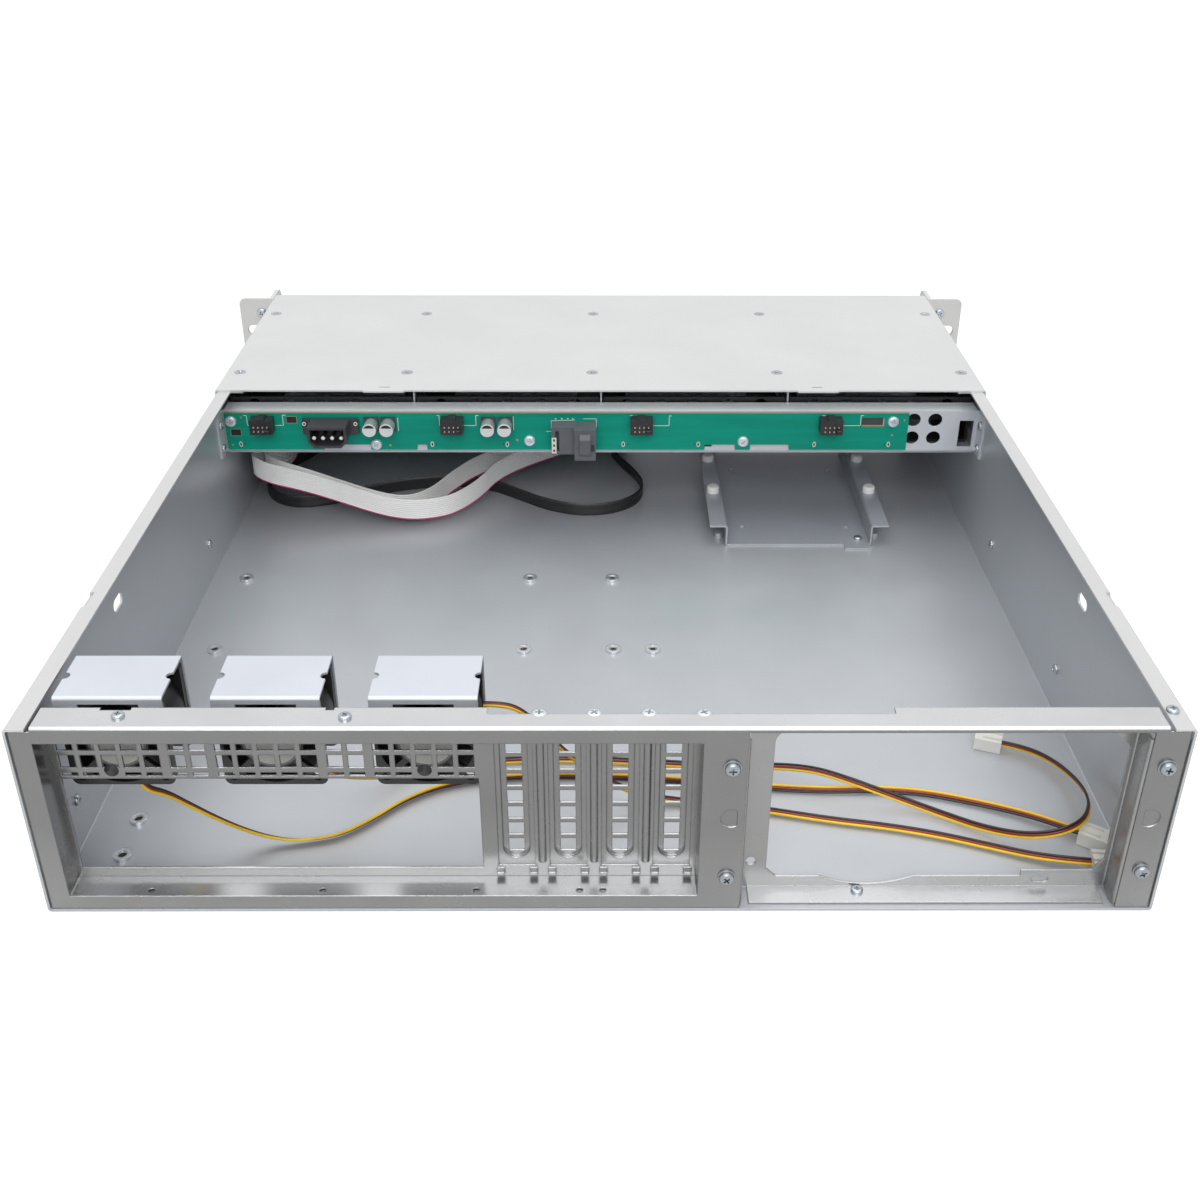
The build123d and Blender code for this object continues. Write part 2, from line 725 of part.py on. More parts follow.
def fan_frame(centre):
    """A fan frame: two square flanges joined by a round barrel, with a motor base held on struts."""
    bore = Circle(fan_bore / 2)
    middle = Pos(centre, fan_middle)
    square = middle * (RectangleRounded(fan_size, fan_size, fan_corner) - bore)
    square -= spots(Circle(fan_hole / 2), fan_screw_places(centre))
    frame = along_y(square, fan_rear, fan_rear + fan_flange)
    frame += along_y(square, fan_front - fan_flange, fan_front)
    frame += along_y(middle * (Circle(fan_bore / 2 + fan_barrel_wall) - bore), fan_rear, fan_front)
    base = Circle(fan_base_diameter / 2)
    arm = rect(0, fan_bore / 2 + fan_barrel_wall / 2, -fan_strut_width / 2, fan_strut_width / 2)
    turn = 360 / fan_strut_count
    base += [Rot(0, 0, turn * (index + 0.5)) * arm for index in range(fan_strut_count)]
    return frame + along_y(middle * base, fan_rear, fan_rear + fan_base_thickness)


def blade_section(radius, angle):
    """The flat section of a fan blade at one radius, turned to its pitch angle."""
    lean = math.radians(angle)
    plane = Plane(
        origin=(radius, 0, rotor_length / 2), x_dir=(0, math.cos(lean), math.sin(lean)), z_dir=(1, 0, 0)
    )
    return plane * Rectangle(blade_chord, blade_thickness)


def fan_rotor(centre):
    """A rotor: a round hub and twisted blades, trimmed to run free in the bore."""
    tip = fan_bore / 2 - rotor_gap
    root = blade_section(rotor_hub / 2 - 2 * blade_thickness, blade_root_angle)
    blade = loft([root, blade_section(tip + blade_thickness, blade_tip_angle)])
    rotor = extrude(Circle(rotor_hub / 2), amount=rotor_length)
    rotor += [Rot(0, 0, 360 * index / rotor_blades) * blade for index in range(rotor_blades)]
    rotor &= extrude(Circle(tip), amount=rotor_length)
    start = fan_rear + fan_base_thickness + rotor_gap
    return Plane(origin=(centre, start, fan_middle), x_dir=(1, 0, 0), z_dir=(0, 1, 0)) * rotor


def grille_plugs():
    """Push-in plugs with round heads, one under each outer fan."""
    stem = plug_stem / 2
    section = outline((0, 0), (plug_head / 2, 0), (stem, plug_head_height), (0, plug_head_height))
    plug = revolve(Plane.XZ * section, Axis.Z) + extrude(Circle(stem), amount=-2 * sheet)
    plugs = []
    for x in (fan_centres[0], fan_centres[-1]):
        plugs.append(Plane(origin=(x, sunk_depth, fan_middle + plug_step), z_dir=(0, -1, 0)) * plug)
    return plugs


def front_top_cover():
    """The fixed front cover with side lips, a front lip, rear tabs, slots and countersunk holes."""
    edge = half + sheet
    top = case_height + sheet
    end = front + cover_overhang
    path = [(-edge, case_height - cover_side_lip), (-edge, top), (edge, top)]
    path += [(edge, case_height - cover_side_lip)]
    cover = along_y(folded(path, side=-1), cover_rear, end)
    lip_half = half - cover_front_lip_inset
    lip = rect(-lip_half, lip_half, top - cover_front_lip, case_height)
    cover += along_y(lip, end - sheet, end)
    tab = rect(-cover_tab_width / 2, cover_tab_width / 2, cover_rear - cover_tab_reach, cover_rear)
    tab_x = cover_tab_share * half
    cover += both_sides(Pos(tab_x, 0, 0) * along_z(tab, case_height, top))
    slot = Pos(tab_x, cover_rear + cover_slot_inset) * Rectangle(cover_slot_length, cover_slot_width)
    cover -= both_sides(along_z(slot, case_height, top))
    sink = Pos(0, 0, case_height + sheet / 2) * Cone(screw_hole / 2, countersink / 2, sheet)
    for x in cover_screw_columns:
        for step in cover_screw_steps:
            cover -= Pos(x, cover_rear + step, 0) * sink
    return cover


def drive_cage():
    """The drive shelf with turned-up edges."""
    path = [(-inner, shelf_height + shelf_lip), (-inner, shelf_height)]
    path += [(inner, shelf_height), (inner, shelf_height + shelf_lip)]
    return along_y(folded(path), backplane_front + sheet, front)


def bay_divider(line):
    """An upright sheet between two bays, and the strip welded beside its top edge under the cover."""
    skin = line + sheet / 2
    upright = rect(skin - sheet, skin, shelf_height + sheet, case_height)
    strip = rect(line - divider_flange, skin - sheet, case_height - sheet, case_height)
    return [along_y(section, divider_rear, front) for section in (upright, strip)]


def lever_pivot(centre):
    """Where a tray's lever turns, as an (X, Y) place."""
    return (
        centre - tray_width / 2 + lever_pivot_inset,
        front + tray_face_depth - lever_barrel / 2,
    )


def drive_tray(centre):
    """A drive tray: open floor, low side rails, pierced back wall and a front with a lever recess."""
    edge = tray_width / 2
    top = tray_base + tray_height
    back_line = tray_rear + tray_frame
    face_line = front - tray_frame
    floor = rect(-edge, edge, tray_rear, front)
    floor -= rect(tray_frame - edge, edge - tray_frame, back_line, face_line)
    tray = along_z(floor, tray_base, tray_base + tray_floor)
    rail = outline(
        (tray_rear, tray_base), (front, tray_base), (front, top), (face_line, top),
        (face_line - tray_frame, tray_base + tray_side), (back_line + tray_frame, tray_base + tray_side),
        (back_line, top), (tray_rear, top),
    )
    tray += both_sides(along_x(rail, edge - tray_wall, edge))
    back = rect(-edge, edge, top - tray_back_height, top)
    middle = (tray_back_holes - 1) / 2
    columns = [(index - middle) * tray_back_hole_pitch for index in range(tray_back_holes)]
    back -= spots(Circle(tray_back_hole / 2), [(x, top - tray_back_hole_drop) for x in columns])
    tray += along_y(back, tray_rear, tray_rear + tray_back_wall)
    tray += along_y(rect(-edge, edge, tray_base, top), front, front + tray_face_depth)
    pivot_x, pivot_y = lever_pivot(0)
    low = tray_base + lever_bottom - lever_gap
    high = tray_base + lever_bottom + lever_height + lever_gap
    reach = pivot_x + lever_length + lever_gap
    recess = rect(pivot_x - lever_barrel / 2 - lever_gap, reach, low, high)
    recess_floor = pivot_y - lever_barrel / 2 - lever_gap
    tray -= along_y(recess, recess_floor, front + tray_face_depth)
    finger = rect(reach - lever_grip, reach, high, high + lever_grip / 2)
    tray -= along_y(finger, recess_floor, front + tray_face_depth)
    tray += along_z(Pos(pivot_x, pivot_y) * Circle(lever_pin / 2), low, high)
    slot = Pos(reach + vent_slot_pitch, (tray_base + top) / 2) * Rectangle(vent_slot_width, vent_slot_height)
    vents = [Pos(vent_slot_pitch * index, 0) * slot for index in range(vent_slots)]
    tray -= along_y(Sketch() + vents, front, front + tray_face_depth)
    return Pos(centre, 0, 0) * tray


def tray_lever(centre):
    """A tray's ejector lever: a barrel round the pin, a flat arm and a raised finger grip."""
    pivot_x, pivot_y = lever_pivot(centre)
    low = tray_base + lever_bottom
    arm = rect(0, lever_length - lever_gap, -lever_thickness / 2, lever_thickness / 2)
    arm += Circle(lever_barrel / 2)
    arm -= Circle(lever_pin / 2 + fit)
    lever = along_z(arm, low, low + lever_height)
    end = lever_length - lever_gap
    grip = rect(end - lever_grip + 2 * lever_gap, end, -lever_thickness / 2, 0)
    lever += along_z(grip, low + lever_height, low + lever_height + lever_grip / 3)
    return Pos(pivot_x, pivot_y, 0) * lever


def backplane_bracket():
    """The steel plate behind the backplane board, with end returns and a forward top flange."""
    rear = backplane_front - backplane_return
    path = [(-inner, rear), (-inner, backplane_front), (inner, backplane_front), (inner, rear)]
    plate = along_z(folded(path, side=-1), backplane_bottom, backplane_top)
    skin = backplane_front - sheet
    reach = backplane_front + backplane_flange
    bend = [(skin, backplane_bottom), (skin, backplane_top), (reach, backplane_top)]
    plate += along_x(folded(bend, side=-1), sheet - inner + bend_radius, inner - sheet - bend_radius)
    places = [(half - inset, shelf_height + rise) for inset, rise in backplane_hole_places]
    outer, near, low, high = backplane_square
    holes = Sketch() + spots(Circle(backplane_hole / 2), places)
    holes += rect(half - outer, half - near, shelf_height + low, shelf_height + high)
    margin = drive_socket_width / 2 + sheet
    window = rect(-margin, margin, -sheet, drive_socket_height + sheet)
    holes += spots(window, [(x, shelf_height + drive_socket_rise) for x in drive_socket_places])
    return plate - along_y(holes, skin, backplane_front)


def backplane_board():
    """The circuit board: one long strip with notches in its lower edge."""
    left, right = board_inset_left - half, half - board_inset_right
    face = rect(left, right, board_bottom, board_bottom + board_height)
    outer, near, low, high = board_window
    face -= rect(half - outer, half - near, shelf_height + low, shelf_height + high)
    notches = [(start - half, end - half) for start, end in board_notches_left]
    notches += [(half - start, half - end) for start, end in board_notches_right]
    notch_top = board_bottom + board_notch_height
    face -= [rect(start, end, board_bottom, notch_top) for start, end in notches]
    return along_y(face, board_back, board_back + board_thickness)


def pin_headers():
    """Shrouded headers with a locking ridge along the top, one for each drive bay."""
    box = rect(-header_width / 2, header_width / 2, 0, header_height)
    header = along_y(box, board_back - header_depth, board_back)
    ridge = rect(-header_width / 6, header_width / 6, header_height, header_height + header_ridge)
    header += along_y(ridge, board_back - header_depth, board_back)
    return [Pos(x, 0, shelf_height + header_rise) * header for x in header_places]


def socket_outline(inset):
    """The power socket's mouth: a rectangle with its two lower corners cut off."""
    side = socket_width / 2 - inset
    cut = socket_corner - inset / 2
    low, high = inset, socket_height - inset
    return outline((-side, high), (-side, low + cut), (cut - side, low), (side - cut, low), (side, low + cut),
                   (side, high))


def power_socket():
    """The four-pin power socket: a hollow body with chamfered lower corners, pins and two wings."""
    rear = board_back - socket_depth
    body = along_y(socket_outline(0), rear, board_back)
    body -= along_y(socket_outline(socket_wall), rear, board_back - socket_wing_thickness)
    wings = rect(-socket_wing_width / 2, socket_wing_width / 2, socket_height / 4, socket_height)
    body += along_y(wings, board_back - socket_wing_thickness, board_back)
    middle = (socket_height - socket_wall) / 2
    pins = [((index - 1.5) * socket_pin_pitch, middle) for index in range(4)]
    body += along_y(Sketch() + spots(Circle(socket_pin / 2), pins), rear + socket_wall, board_back)
    return Pos(header_places[0] + socket_offset, 0, shelf_height + socket_rise) * body


def capacitors():
    """Four can capacitors, each on its square base."""
    base = rect(-capacitor_base / 2, capacitor_base / 2, -capacitor_base / 2, capacitor_base / 2)
    can = along_y(base, board_back - capacitor_base_thickness, board_back)
    can += along_y(Circle(capacitor_can / 2), board_back - capacitor_length, board_back)
    return [Pos(x, 0, shelf_height + capacitor_rise) * can for x in capacitor_places]


def drive_sockets():
    """A drive connector on the board's front for each bay, reaching through the bracket's window."""
    start = board_back + board_thickness
    width, height = drive_socket_width, drive_socket_height
    body = along_y(rect(-width / 2, width / 2, 0, height), start, start + drive_socket_reach)
    slot = Pos(0, height / 2) * Rectangle(width - 2 * sheet, drive_socket_slot)
    body -= along_y(slot, start + drive_socket_reach / 2, start + drive_socket_reach)
    return [Pos(x, 0, shelf_height + drive_socket_rise) * body for x in drive_socket_places]


def sas_socket():
    """The upright data socket on the board, with a row of contacts in its open side."""
    left, width = data_socket_left, data_socket_width
    low = shelf_height + data_socket_rise
    rear = board_back - data_socket_depth
    body = along_y(rect(left, left + width, low, data_socket_top), rear, board_back)
    slot = rect(left + width / 6, left + width / 3, low + width / 6, data_socket_top - width / 6)
    return body - along_y(slot, rear, board_back - data_socket_depth / 2)


def sas_plug():
    """The plug beside the socket, with a sloping latch on its back."""
    left = data_socket_left + data_socket_width
    right = left + data_plug_width
    low = shelf_height + data_plug_rise
    rear = board_back - data_plug_depth
    body = along_y(rect(left, right, low, data_socket_top), rear, board_back)
    latch = outline(
        (rear, low + data_latch / 2), (rear - data_latch / 2, low + data_latch),
        (rear - data_latch / 2, data_socket_top - data_latch), (rear, data_socket_top - data_latch / 2),
    )
    return body + along_x(latch, left + data_plug_width / 4, right - data_plug_width / 4)


def front_bezel():
    """The front panel below the bays, with vents, openings and posts for its board."""
    face = rect(-half, half, bezel_base, bezel_top)
    vent_top = bezel_top - bezel_vent_drop
    vent = Rot(0, 0, 90) * SlotOverall(vent_top - bezel_vent_bottom, bezel_vent_width)
    count = int((half - bezel_vent_first) / bezel_vent_pitch)
    columns = [bezel_vent_first + bezel_vent_pitch * index for index in range(count)]
    face -= spots(vent, [(x, (vent_top + bezel_vent_bottom) / 2) for x in columns])
    shell = Rectangle(usb_width + 2 * fit, usb_height + 2 * fit)
    face -= spots(shell, [(x, port_height) for x in usb_places])
    face -= Pos(button_x, port_height) * Circle(button_diameter / 2 + fit)
    bezel = along_y(face, front, front + bezel_depth)
    heights = (bezel_post_low, front_board_top - bezel_post)
    places = [(offset - half, z) for offset in bezel_post_offsets for z in heights]
    posts = Sketch() + spots(Circle(bezel_post / 2), places)
    return bezel + along_y(posts, front_board_front, front)


def power_button():
    """A round button that runs in the bezel, with a stem towards its switch."""
    middle = Pos(button_x, port_height)
    cap = along_y(middle * Circle(button_diameter / 2), front, front + bezel_depth + button_proud)
    cap = fillet(cap.edges().group_by(Axis.Y)[-1], button_round)
    stem_end = front_board_front + switch_height + button_travel + fit
    return cap + along_y(middle * Circle(button_stem / 2), stem_end, front)


def front_board():
    """The board behind the bezel: cable headers, two port shells and the switch."""
    rear = front_board_front - board_thickness
    right = data_cable_points[-1][0] + front_board_past
    face = rect(front_board_inset - half, right, front_board_bottom, front_board_top)
    board = along_y(face, rear, front_board_front)
    ribbon_header = Rectangle(ribbon_header_width, ribbon_header_height)
    for points in (ribbon_1_points, ribbon_2_points):
        for x in (points[0][0], points[-1][0]):
            board += along_y(Pos(x, ribbon_height) * ribbon_header, cable_end, rear)
    data_header = Rectangle(data_header_width, data_header_height)
    for x in (data_cable_points[0][0], data_cable_points[-1][0]):
        board += along_y(Pos(x, flat_cable_height) * data_header, cable_end, rear)
    port = Rectangle(usb_width, usb_height)
    mouth = Rectangle(usb_width - 2 * usb_wall, usb_height - 2 * usb_wall)
    for x in usb_places:
        shell = along_y(Pos(x, port_height) * port, front_board_front, front + bezel_depth)
        board += shell - along_y(Pos(x, port_height) * mouth, front, front + bezel_depth)
    switch = Pos(button_x, port_height) * Rectangle(switch_size, switch_size)
    return board + along_y(switch, front_board_front, front_board_front + switch_height)


def rack_ear():
    """The right rack ear: a slotted plate, a return along the case's side and a cheek towards the front."""
    edge = half + ear_overhang
    face = rect(half, edge, 0, case_height)
    face = round_corner(face, (edge, 0), ear_corner)
    face = round_corner(face, (edge, case_height), ear_corner)
    slot = SlotOverall(rack_slot_length, rack_slot_width)
    face -= spots(slot, [(rack_slot_x, z) for z in rack_heights])
    face -= spots(Circle(screw_hole / 2), [(handle_x, z) for z in handle_heights])
    face -= rect(half, half + sheet + fit, ear_return_top, case_height)
    ear = along_y(face, front, front + ear_sheet)
    side = rect(front - ear_return, front, ear_return_bottom, ear_return_top)
    ear += along_x(side, half, half + ear_sheet)
    start, reach = front + ear_sheet, front + ear_sheet + cheek_reach
    cheek = rect(start, reach, cheek_bottom, case_height)
    cheek = round_corner(cheek, (reach, case_height), cheek_radius)
    cheek = round_corner(cheek, (reach, cheek_bottom), cheek_radius)
    cheek_inner = half + sheet + fit
    return ear + along_x(cheek, cheek_inner, cheek_inner + cheek_thickness)


def handle():
    """The right handle: a rounded bar bent into a bow, tapped at both feet."""
    low, high = handle_heights
    foot = front + ear_sheet
    reach = foot + handle_reach - handle_bar / 2
    x = handle_x
    bow = [(x, foot, low), (x, reach, low), (x, reach, high), (x, foot, high)]
    path = FilletPolyline(*bow, radius=handle_bend)
    section = Plane(origin=(x, foot, low), x_dir=(1, 0, 0), z_dir=(0, 1, 0))
    bar = sweep(section * RectangleRounded(handle_bar, handle_bar, handle_edge), path=path)
    taps = spots(Circle(screw_hole / 2), [(x, z) for z in handle_heights])
    return bar - along_y(Sketch() + taps, foot, foot + handle_bar)


def floor_standoffs():
    """Low threaded nuts in the hole pattern of a motherboard, for its standoffs."""
    columns = [board_column_margin - half + x for x in board_columns]
    rows = [board_rear + y for y in board_rows]
    places = [(x, rows[3]) for x in columns[:3]] + [(x, rows[2]) for x in columns]
    places += [(columns[0], rows[1])] + [(x, rows[0]) for x in columns[:3]]
    ring = Circle(standoff_diameter / 2) - Circle(standoff_hole / 2)
    post = along_z(ring, sheet, sheet + standoff_height)
    return [Pos(x, y, 0) * post for x, y in places]


def drive_bracket():
    """A hat-section bracket on the floor with screw holes for a small drive and a tab at its rear."""
    left, right = drive_bracket_left, drive_bracket_right
    under = drive_bracket_height - sheet
    rear, end = drive_bracket_rear, drive_bracket_rear + drive_bracket_length
    path = [(left - drive_bracket_flange, under), (left, under), (left, sheet), (right, sheet)]
    path += [(right, under), (right + drive_bracket_flange, under)]
    bracket = along_y(folded(path), rear, end)
    tab = rect(right - drive_tab_width, right - sheet - bend_radius, rear - drive_tab_reach, rear)
    bracket += along_z(tab, sheet, 2 * sheet)
    spread = small_drive_spread / 2
    columns = [drive_bracket_middle - spread, drive_bracket_middle + spread]
    row = rear + small_drive_inset
    holes = spots(Circle(small_drive_hole / 2), [(x, row) for x in columns])
    slot = Rot(0, 0, 90) * SlotOverall(small_drive_slot, small_drive_hole)
    holes += spots(slot, [(x, row + small_drive_step) for x in columns])
    return bracket - along_z(Sketch() + holes, sheet, 2 * sheet)


def bracket_posts():
    """Four soft posts with rounded tops on the bracket's flanges, for a larger drive to rest on."""
    post = extrude(Circle(drive_post_diameter / 2), amount=drive_post_height)
    post = fillet(post.edges().group_by(Axis.Z)[-1], drive_post_height / 3)
    middle = drive_bracket_width / 2 + drive_bracket_flange / 2
    columns = [drive_bracket_middle - middle, drive_bracket_middle + middle]
    row = drive_bracket_rear + drive_hole_inset
    rows = [row, row + drive_hole_step]
    return [Pos(x, y, drive_bracket_height) * post for x in columns for y in rows]


def stretched(points, height=1.0):
    """Route points moved across with the case's width, their heights multiplied by one height."""
    return [(x * case_width / route_width, y, z * height) for x, y, z in points]


def level_route(points):
    """Route points counted back from the front board's headers."""
    return [(x * case_width / route_width, cable_end - back) for x, back in points]


def hanging_route(number, depth, drop, run):
    """A fan cable's route: straight down from the fan's flange, down its drop and along the floor."""
    x = fan_centres[number] + wire_exit
    start = [(x, depth, fan_under), (x, depth, fan_under - wire_exit_drop)]
    return start + stretched(drop, fan_under) + stretched(run)


def side_route(drop, run):
    """The last fan cable's route, which leaves its fan sideways."""
    x = fan_centres[-1] + fan_size / 2
    depth = fan_front - fan_flange + sheet
    start = [(x, depth, fan_middle), (x + wire_side_run, depth, fan_middle)]
    return start + stretched(drop, fan_middle) + stretched(run)


def cord_path(name, points):
    """Straight runs joined by tangent arcs, each radius set by the shorter of its two runs."""
    corners = [Vector(*point) for point in points]
    radii = []
    for before, corner, after in zip(corners, corners[1:], corners[2:]):
        first = corner - before
        second = after - corner
        reach = cord_share * min(first.length, second.length)
        radii.append(reach / math.tan(math.radians(first.get_angle(second)) / 2))
    path = FilletPolyline(*points, radius=radii)
    print(name, "length", round(path.length, 1), "smallest radius", round(min(radii), 1))
    return path


def wire_cable(name, points):
    """A round bundle of wires along its route."""
    path = cord_path(name, points)
    return sweep(Plane(origin=path @ 0, z_dir=path % 0) * Circle(wire_bundle / 2), path=path)


def flat_cable(name, points, height, width, thickness):
    """A flat cable that stands on its edge along a level route."""
    path = cord_path(name, [(x, y, height) for x, y in points])
    across = (path % 0).cross(Vector(0, 0, 1))
    start = Plane(origin=path @ 0, x_dir=across, z_dir=path % 0)
    return sweep(start * Rectangle(thickness, width), path=path)


def wire_plug(points):
    """A small plug at a cable's end, with two rails along its top."""
    end = Vector(*points[-1])
    heading = end - Vector(*points[-2])
    heading = Vector(heading.X, heading.Y, 0).normalized()
    body = extrude(Rectangle(wire_plug_width, wire_plug_height), amount=wire_plug_length)
    rail = Rectangle(wire_plug_width / 8, wire_plug_height / 6)
    height = wire_plug_height / 2 + wire_plug_height / 12
    for side in (-wire_plug_width / 4, wire_plug_width / 4):
        body += extrude(Pos(side, height) * rail, amount=wire_plug_length * 0.7)
    return Plane(origin=end, x_dir=Vector(0, 0, 1).cross(heading), z_dir=heading) * body


fan_cable_1_points = hanging_route(0, fan_rear + fan_flange / 2, fan_cable_1_drop, fan_cable_1_run)
fan_cable_2_points = hanging_route(1, fan_front - fan_flange / 2, fan_cable_2_drop, fan_cable_2_run)
fan_cable_3_points = side_route(fan_cable_3_drop, fan_cable_3_run)
ribbon_1_points = level_route(ribbon_1_run)
ribbon_2_points = level_route(ribbon_2_run)
data_cable_points = level_route(data_cable_run)

pieces = {
    "chassis_tray": chassis_tray(),
    "rear_frame": rear_frame(),
    "rear_io_panel": rear_io_panel(),
    "psu_bracket": psu_bracket(),
    "grille_plugs": grille_plugs(),
    "front_top_cover": front_top_cover(),
    "drive_cage": drive_cage(),
    "backplane_bracket": backplane_bracket(),
    "backplane_board": backplane_board(),
    "pin_headers": pin_headers(),
    "power_socket": power_socket(),
    "capacitors": capacitors(),
    "drive_sockets": drive_sockets(),
    "sas_socket": sas_socket(),
    "sas_plug": sas_plug(),
    "front_bezel": front_bezel(),
    "power_button": power_button(),
    "front_board": front_board(),
    "rack_ear_right": rack_ear(),
    "rack_ear_left": mirror(rack_ear(), about=Plane.YZ),
    "handle_right": handle(),
    "handle_left": mirror(handle(), about=Plane.YZ),
    "floor_standoffs": floor_standoffs(),
    "drive_bracket": drive_bracket(),
    "bracket_posts": bracket_posts(),
}
for number, centre in enumerate(slot_centres, 1):
    pieces[f"slot_cover_{number}"] = slot_cover(centre)
for number, centre in enumerate(fan_centres, 1):
    pieces[f"fan_hood_{number}"] = fan_hood(centre)
    pieces[f"fan_frame_{number}"] = fan_frame(centre)
    pieces[f"fan_rotor_{number}"] = fan_rotor(centre)
for number, line in enumerate(divider_lines, 1):
    pieces[f"bay_divider_{number}"] = bay_divider(line)
for number, centre in enumerate(bay_centres, 1):
    pieces[f"drive_tray_{number}"] = drive_tray(centre)
    pieces[f"tray_lever_{number}"] = tray_lever(centre)
for number, points in enumerate((fan_cable_1_points, fan_cable_2_points, fan_cable_3_points), 1):
    pieces[f"fan_cable_{number}"] = wire_cable(f"fan_cable_{number}", points)
    pieces[f"fan_plug_{number}"] = wire_plug(points)
for number, points in enumerate((ribbon_1_points, ribbon_2_points), 1):
    name = f"ribbon_cable_{number}"
    pieces[name] = flat_cable(name, points, ribbon_height, ribbon_width, ribbon_thickness)
pieces["data_cable"] = flat_cable(
    "data_cable", data_cable_points, flat_cable_height, flat_cable_width, flat_cable_thickness
)

for name, piece in pieces.items():
    group = piece if isinstance(piece, list) else [piece]
    solids = [solid for item in group for solid in item.solids()]
    shape = solids[0] if len(solids) == 1 else Compound(children=solids)
    export_step(Pos(0, -origin_shift, 0) * shape, f"parts/{name}.step")
    print(name, len(solids), "solids", round(sum(solid.volume for solid in solids) / 1000, 2), "cm3")
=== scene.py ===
import math

import bpy
from mathutils import Matrix, Vector


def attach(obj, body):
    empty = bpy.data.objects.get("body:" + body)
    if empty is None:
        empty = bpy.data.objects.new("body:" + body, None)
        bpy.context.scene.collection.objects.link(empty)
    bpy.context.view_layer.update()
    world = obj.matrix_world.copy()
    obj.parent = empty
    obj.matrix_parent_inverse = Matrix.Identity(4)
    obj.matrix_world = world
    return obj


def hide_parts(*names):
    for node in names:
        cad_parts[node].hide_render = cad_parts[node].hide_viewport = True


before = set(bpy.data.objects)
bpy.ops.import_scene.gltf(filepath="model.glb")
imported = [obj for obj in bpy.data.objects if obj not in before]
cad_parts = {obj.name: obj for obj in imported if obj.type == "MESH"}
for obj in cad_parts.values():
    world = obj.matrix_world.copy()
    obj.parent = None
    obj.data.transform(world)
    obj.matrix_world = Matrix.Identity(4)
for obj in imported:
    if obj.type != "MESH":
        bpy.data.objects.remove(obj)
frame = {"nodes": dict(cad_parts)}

# Looks of an empty rackmount server case with its rear lid off, on a pale studio floor.
# Metres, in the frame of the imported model: X across, Y from the rear panel to the front, Z up.

bl_info = {
    "name": "Server Case Looks",
    "version": (1, 0, 0),
    "blender": (4, 5, 0),
    "location": "3D View > Sidebar > Server Case",
    "description": "Finishes, screws, cables and board details of an empty rackmount server case",
    "category": "Object",
}

NODES = frame["nodes"]
# From the origin back to the case's rear edge, and from that edge to the backplane's face
REAR = 0.254
BOARD_FACE = 0.3164
# Height at which the chassis walls fold into their top flanges, which carry a painted glint
FLANGE = 0.0868
# Edge softness of small metal parts
FINE = 0.0001
# In millimetres, as at() takes them: the fans' middles across the case, and their height
FAN_MIDDLES = (-185.6, -126.3, -67.0)
FAN_HEIGHT = 66
BACK, FRONT, LEFT, RIGHT, UP = (0, -1, 0), (0, 1, 0), (-1, 0, 0), (1, 0, 0), (0, 0, 1)

# Cable routes: the points of the part's source, two of them moved a little; the ribbons rise and sag
FAN_CABLE_1_ROUTE = (
    (-0.1796, -0.23075, 0.046), (-0.1785, -0.2303, 0.0421), (-0.1725, -0.2268, 0.0372),
    (-0.165, -0.223, 0.0276), (-0.1565, -0.22, 0.0184), (-0.1475, -0.2175, 0.01058),
    (-0.1375, -0.216, 0.005), (-0.126, -0.216, 0.0029), (-0.1095, -0.2125, 0.0029),
    (-0.097, -0.202, 0.0029), (-0.084, -0.188, 0.0029), (-0.067, -0.178, 0.0029),
    (-0.044, -0.1735, 0.0029), (-0.018, -0.1725, 0.0029), (0.01, -0.1735, 0.0029),
    (0.036, -0.176, 0.0029), (0.058, -0.179, 0.0029), (0.078, -0.1814, 0.0029),
    (0.098, -0.183, 0.0029), (0.119, -0.1822, 0.0029), (0.141, -0.1845, 0.0029),
    (0.16, -0.1905, 0.0029), (0.177, -0.1975, 0.0034), (0.191, -0.2055, 0.0042),
    (0.201, -0.2125, 0.0042),
)
FAN_CABLE_2_ROUTE = (
    (-0.1203, -0.20625, 0.046), (-0.1203, -0.20625, 0.041), (-0.1155, -0.2015, 0.02898),
    (-0.1095, -0.192, 0.0184), (-0.1, -0.1815, 0.00966), (-0.087, -0.1725, 0.0036),
    (-0.07, -0.166, 0.0029), (-0.048, -0.162, 0.0029), (-0.024, -0.1605, 0.0029),
    (0.0, -0.1615, 0.0029), (0.025, -0.1635, 0.0029), (0.048, -0.166, 0.0029),
    (0.066, -0.1675, 0.004), (0.082, -0.1715, 0.007), (0.095, -0.1775, 0.0096),
    (0.107, -0.184, 0.0096), (0.12, -0.1885, 0.007), (0.133, -0.1925, 0.004),
    (0.147, -0.2, 0.003), (0.162, -0.2095, 0.0035), (0.177, -0.217, 0.006),
    (0.19, -0.219, 0.0095), (0.2, -0.215, 0.0116), (0.206, -0.2055, 0.0116),
    (0.2085, -0.193, 0.0095), (0.208, -0.179, 0.0065), (0.2035, -0.165, 0.0046),
    (0.1945, -0.155, 0.0042), (0.1835, -0.151, 0.0042),
)
FAN_CABLE_3_ROUTE = (
    (-0.047, -0.207, 0.066), (-0.0395, -0.207, 0.066), (-0.033, -0.2058, 0.0627),
    (-0.027, -0.2034, 0.05511), (-0.021, -0.2004, 0.04455), (-0.0135, -0.197, 0.033),
    (-0.004, -0.194, 0.02211), (0.0075, -0.1915, 0.01188), (0.021, -0.19, 0.005),
    (0.037, -0.1905, 0.0029), (0.055, -0.193, 0.0029), (0.075, -0.1972, 0.0029),
    (0.097, -0.2027, 0.0029), (0.12, -0.2068, 0.0029), (0.141, -0.2122, 0.0029),
    (0.16, -0.219, 0.0029), (0.176, -0.2254, 0.0034), (0.19, -0.2294, 0.0042),
    (0.2, -0.2306, 0.0042),
)
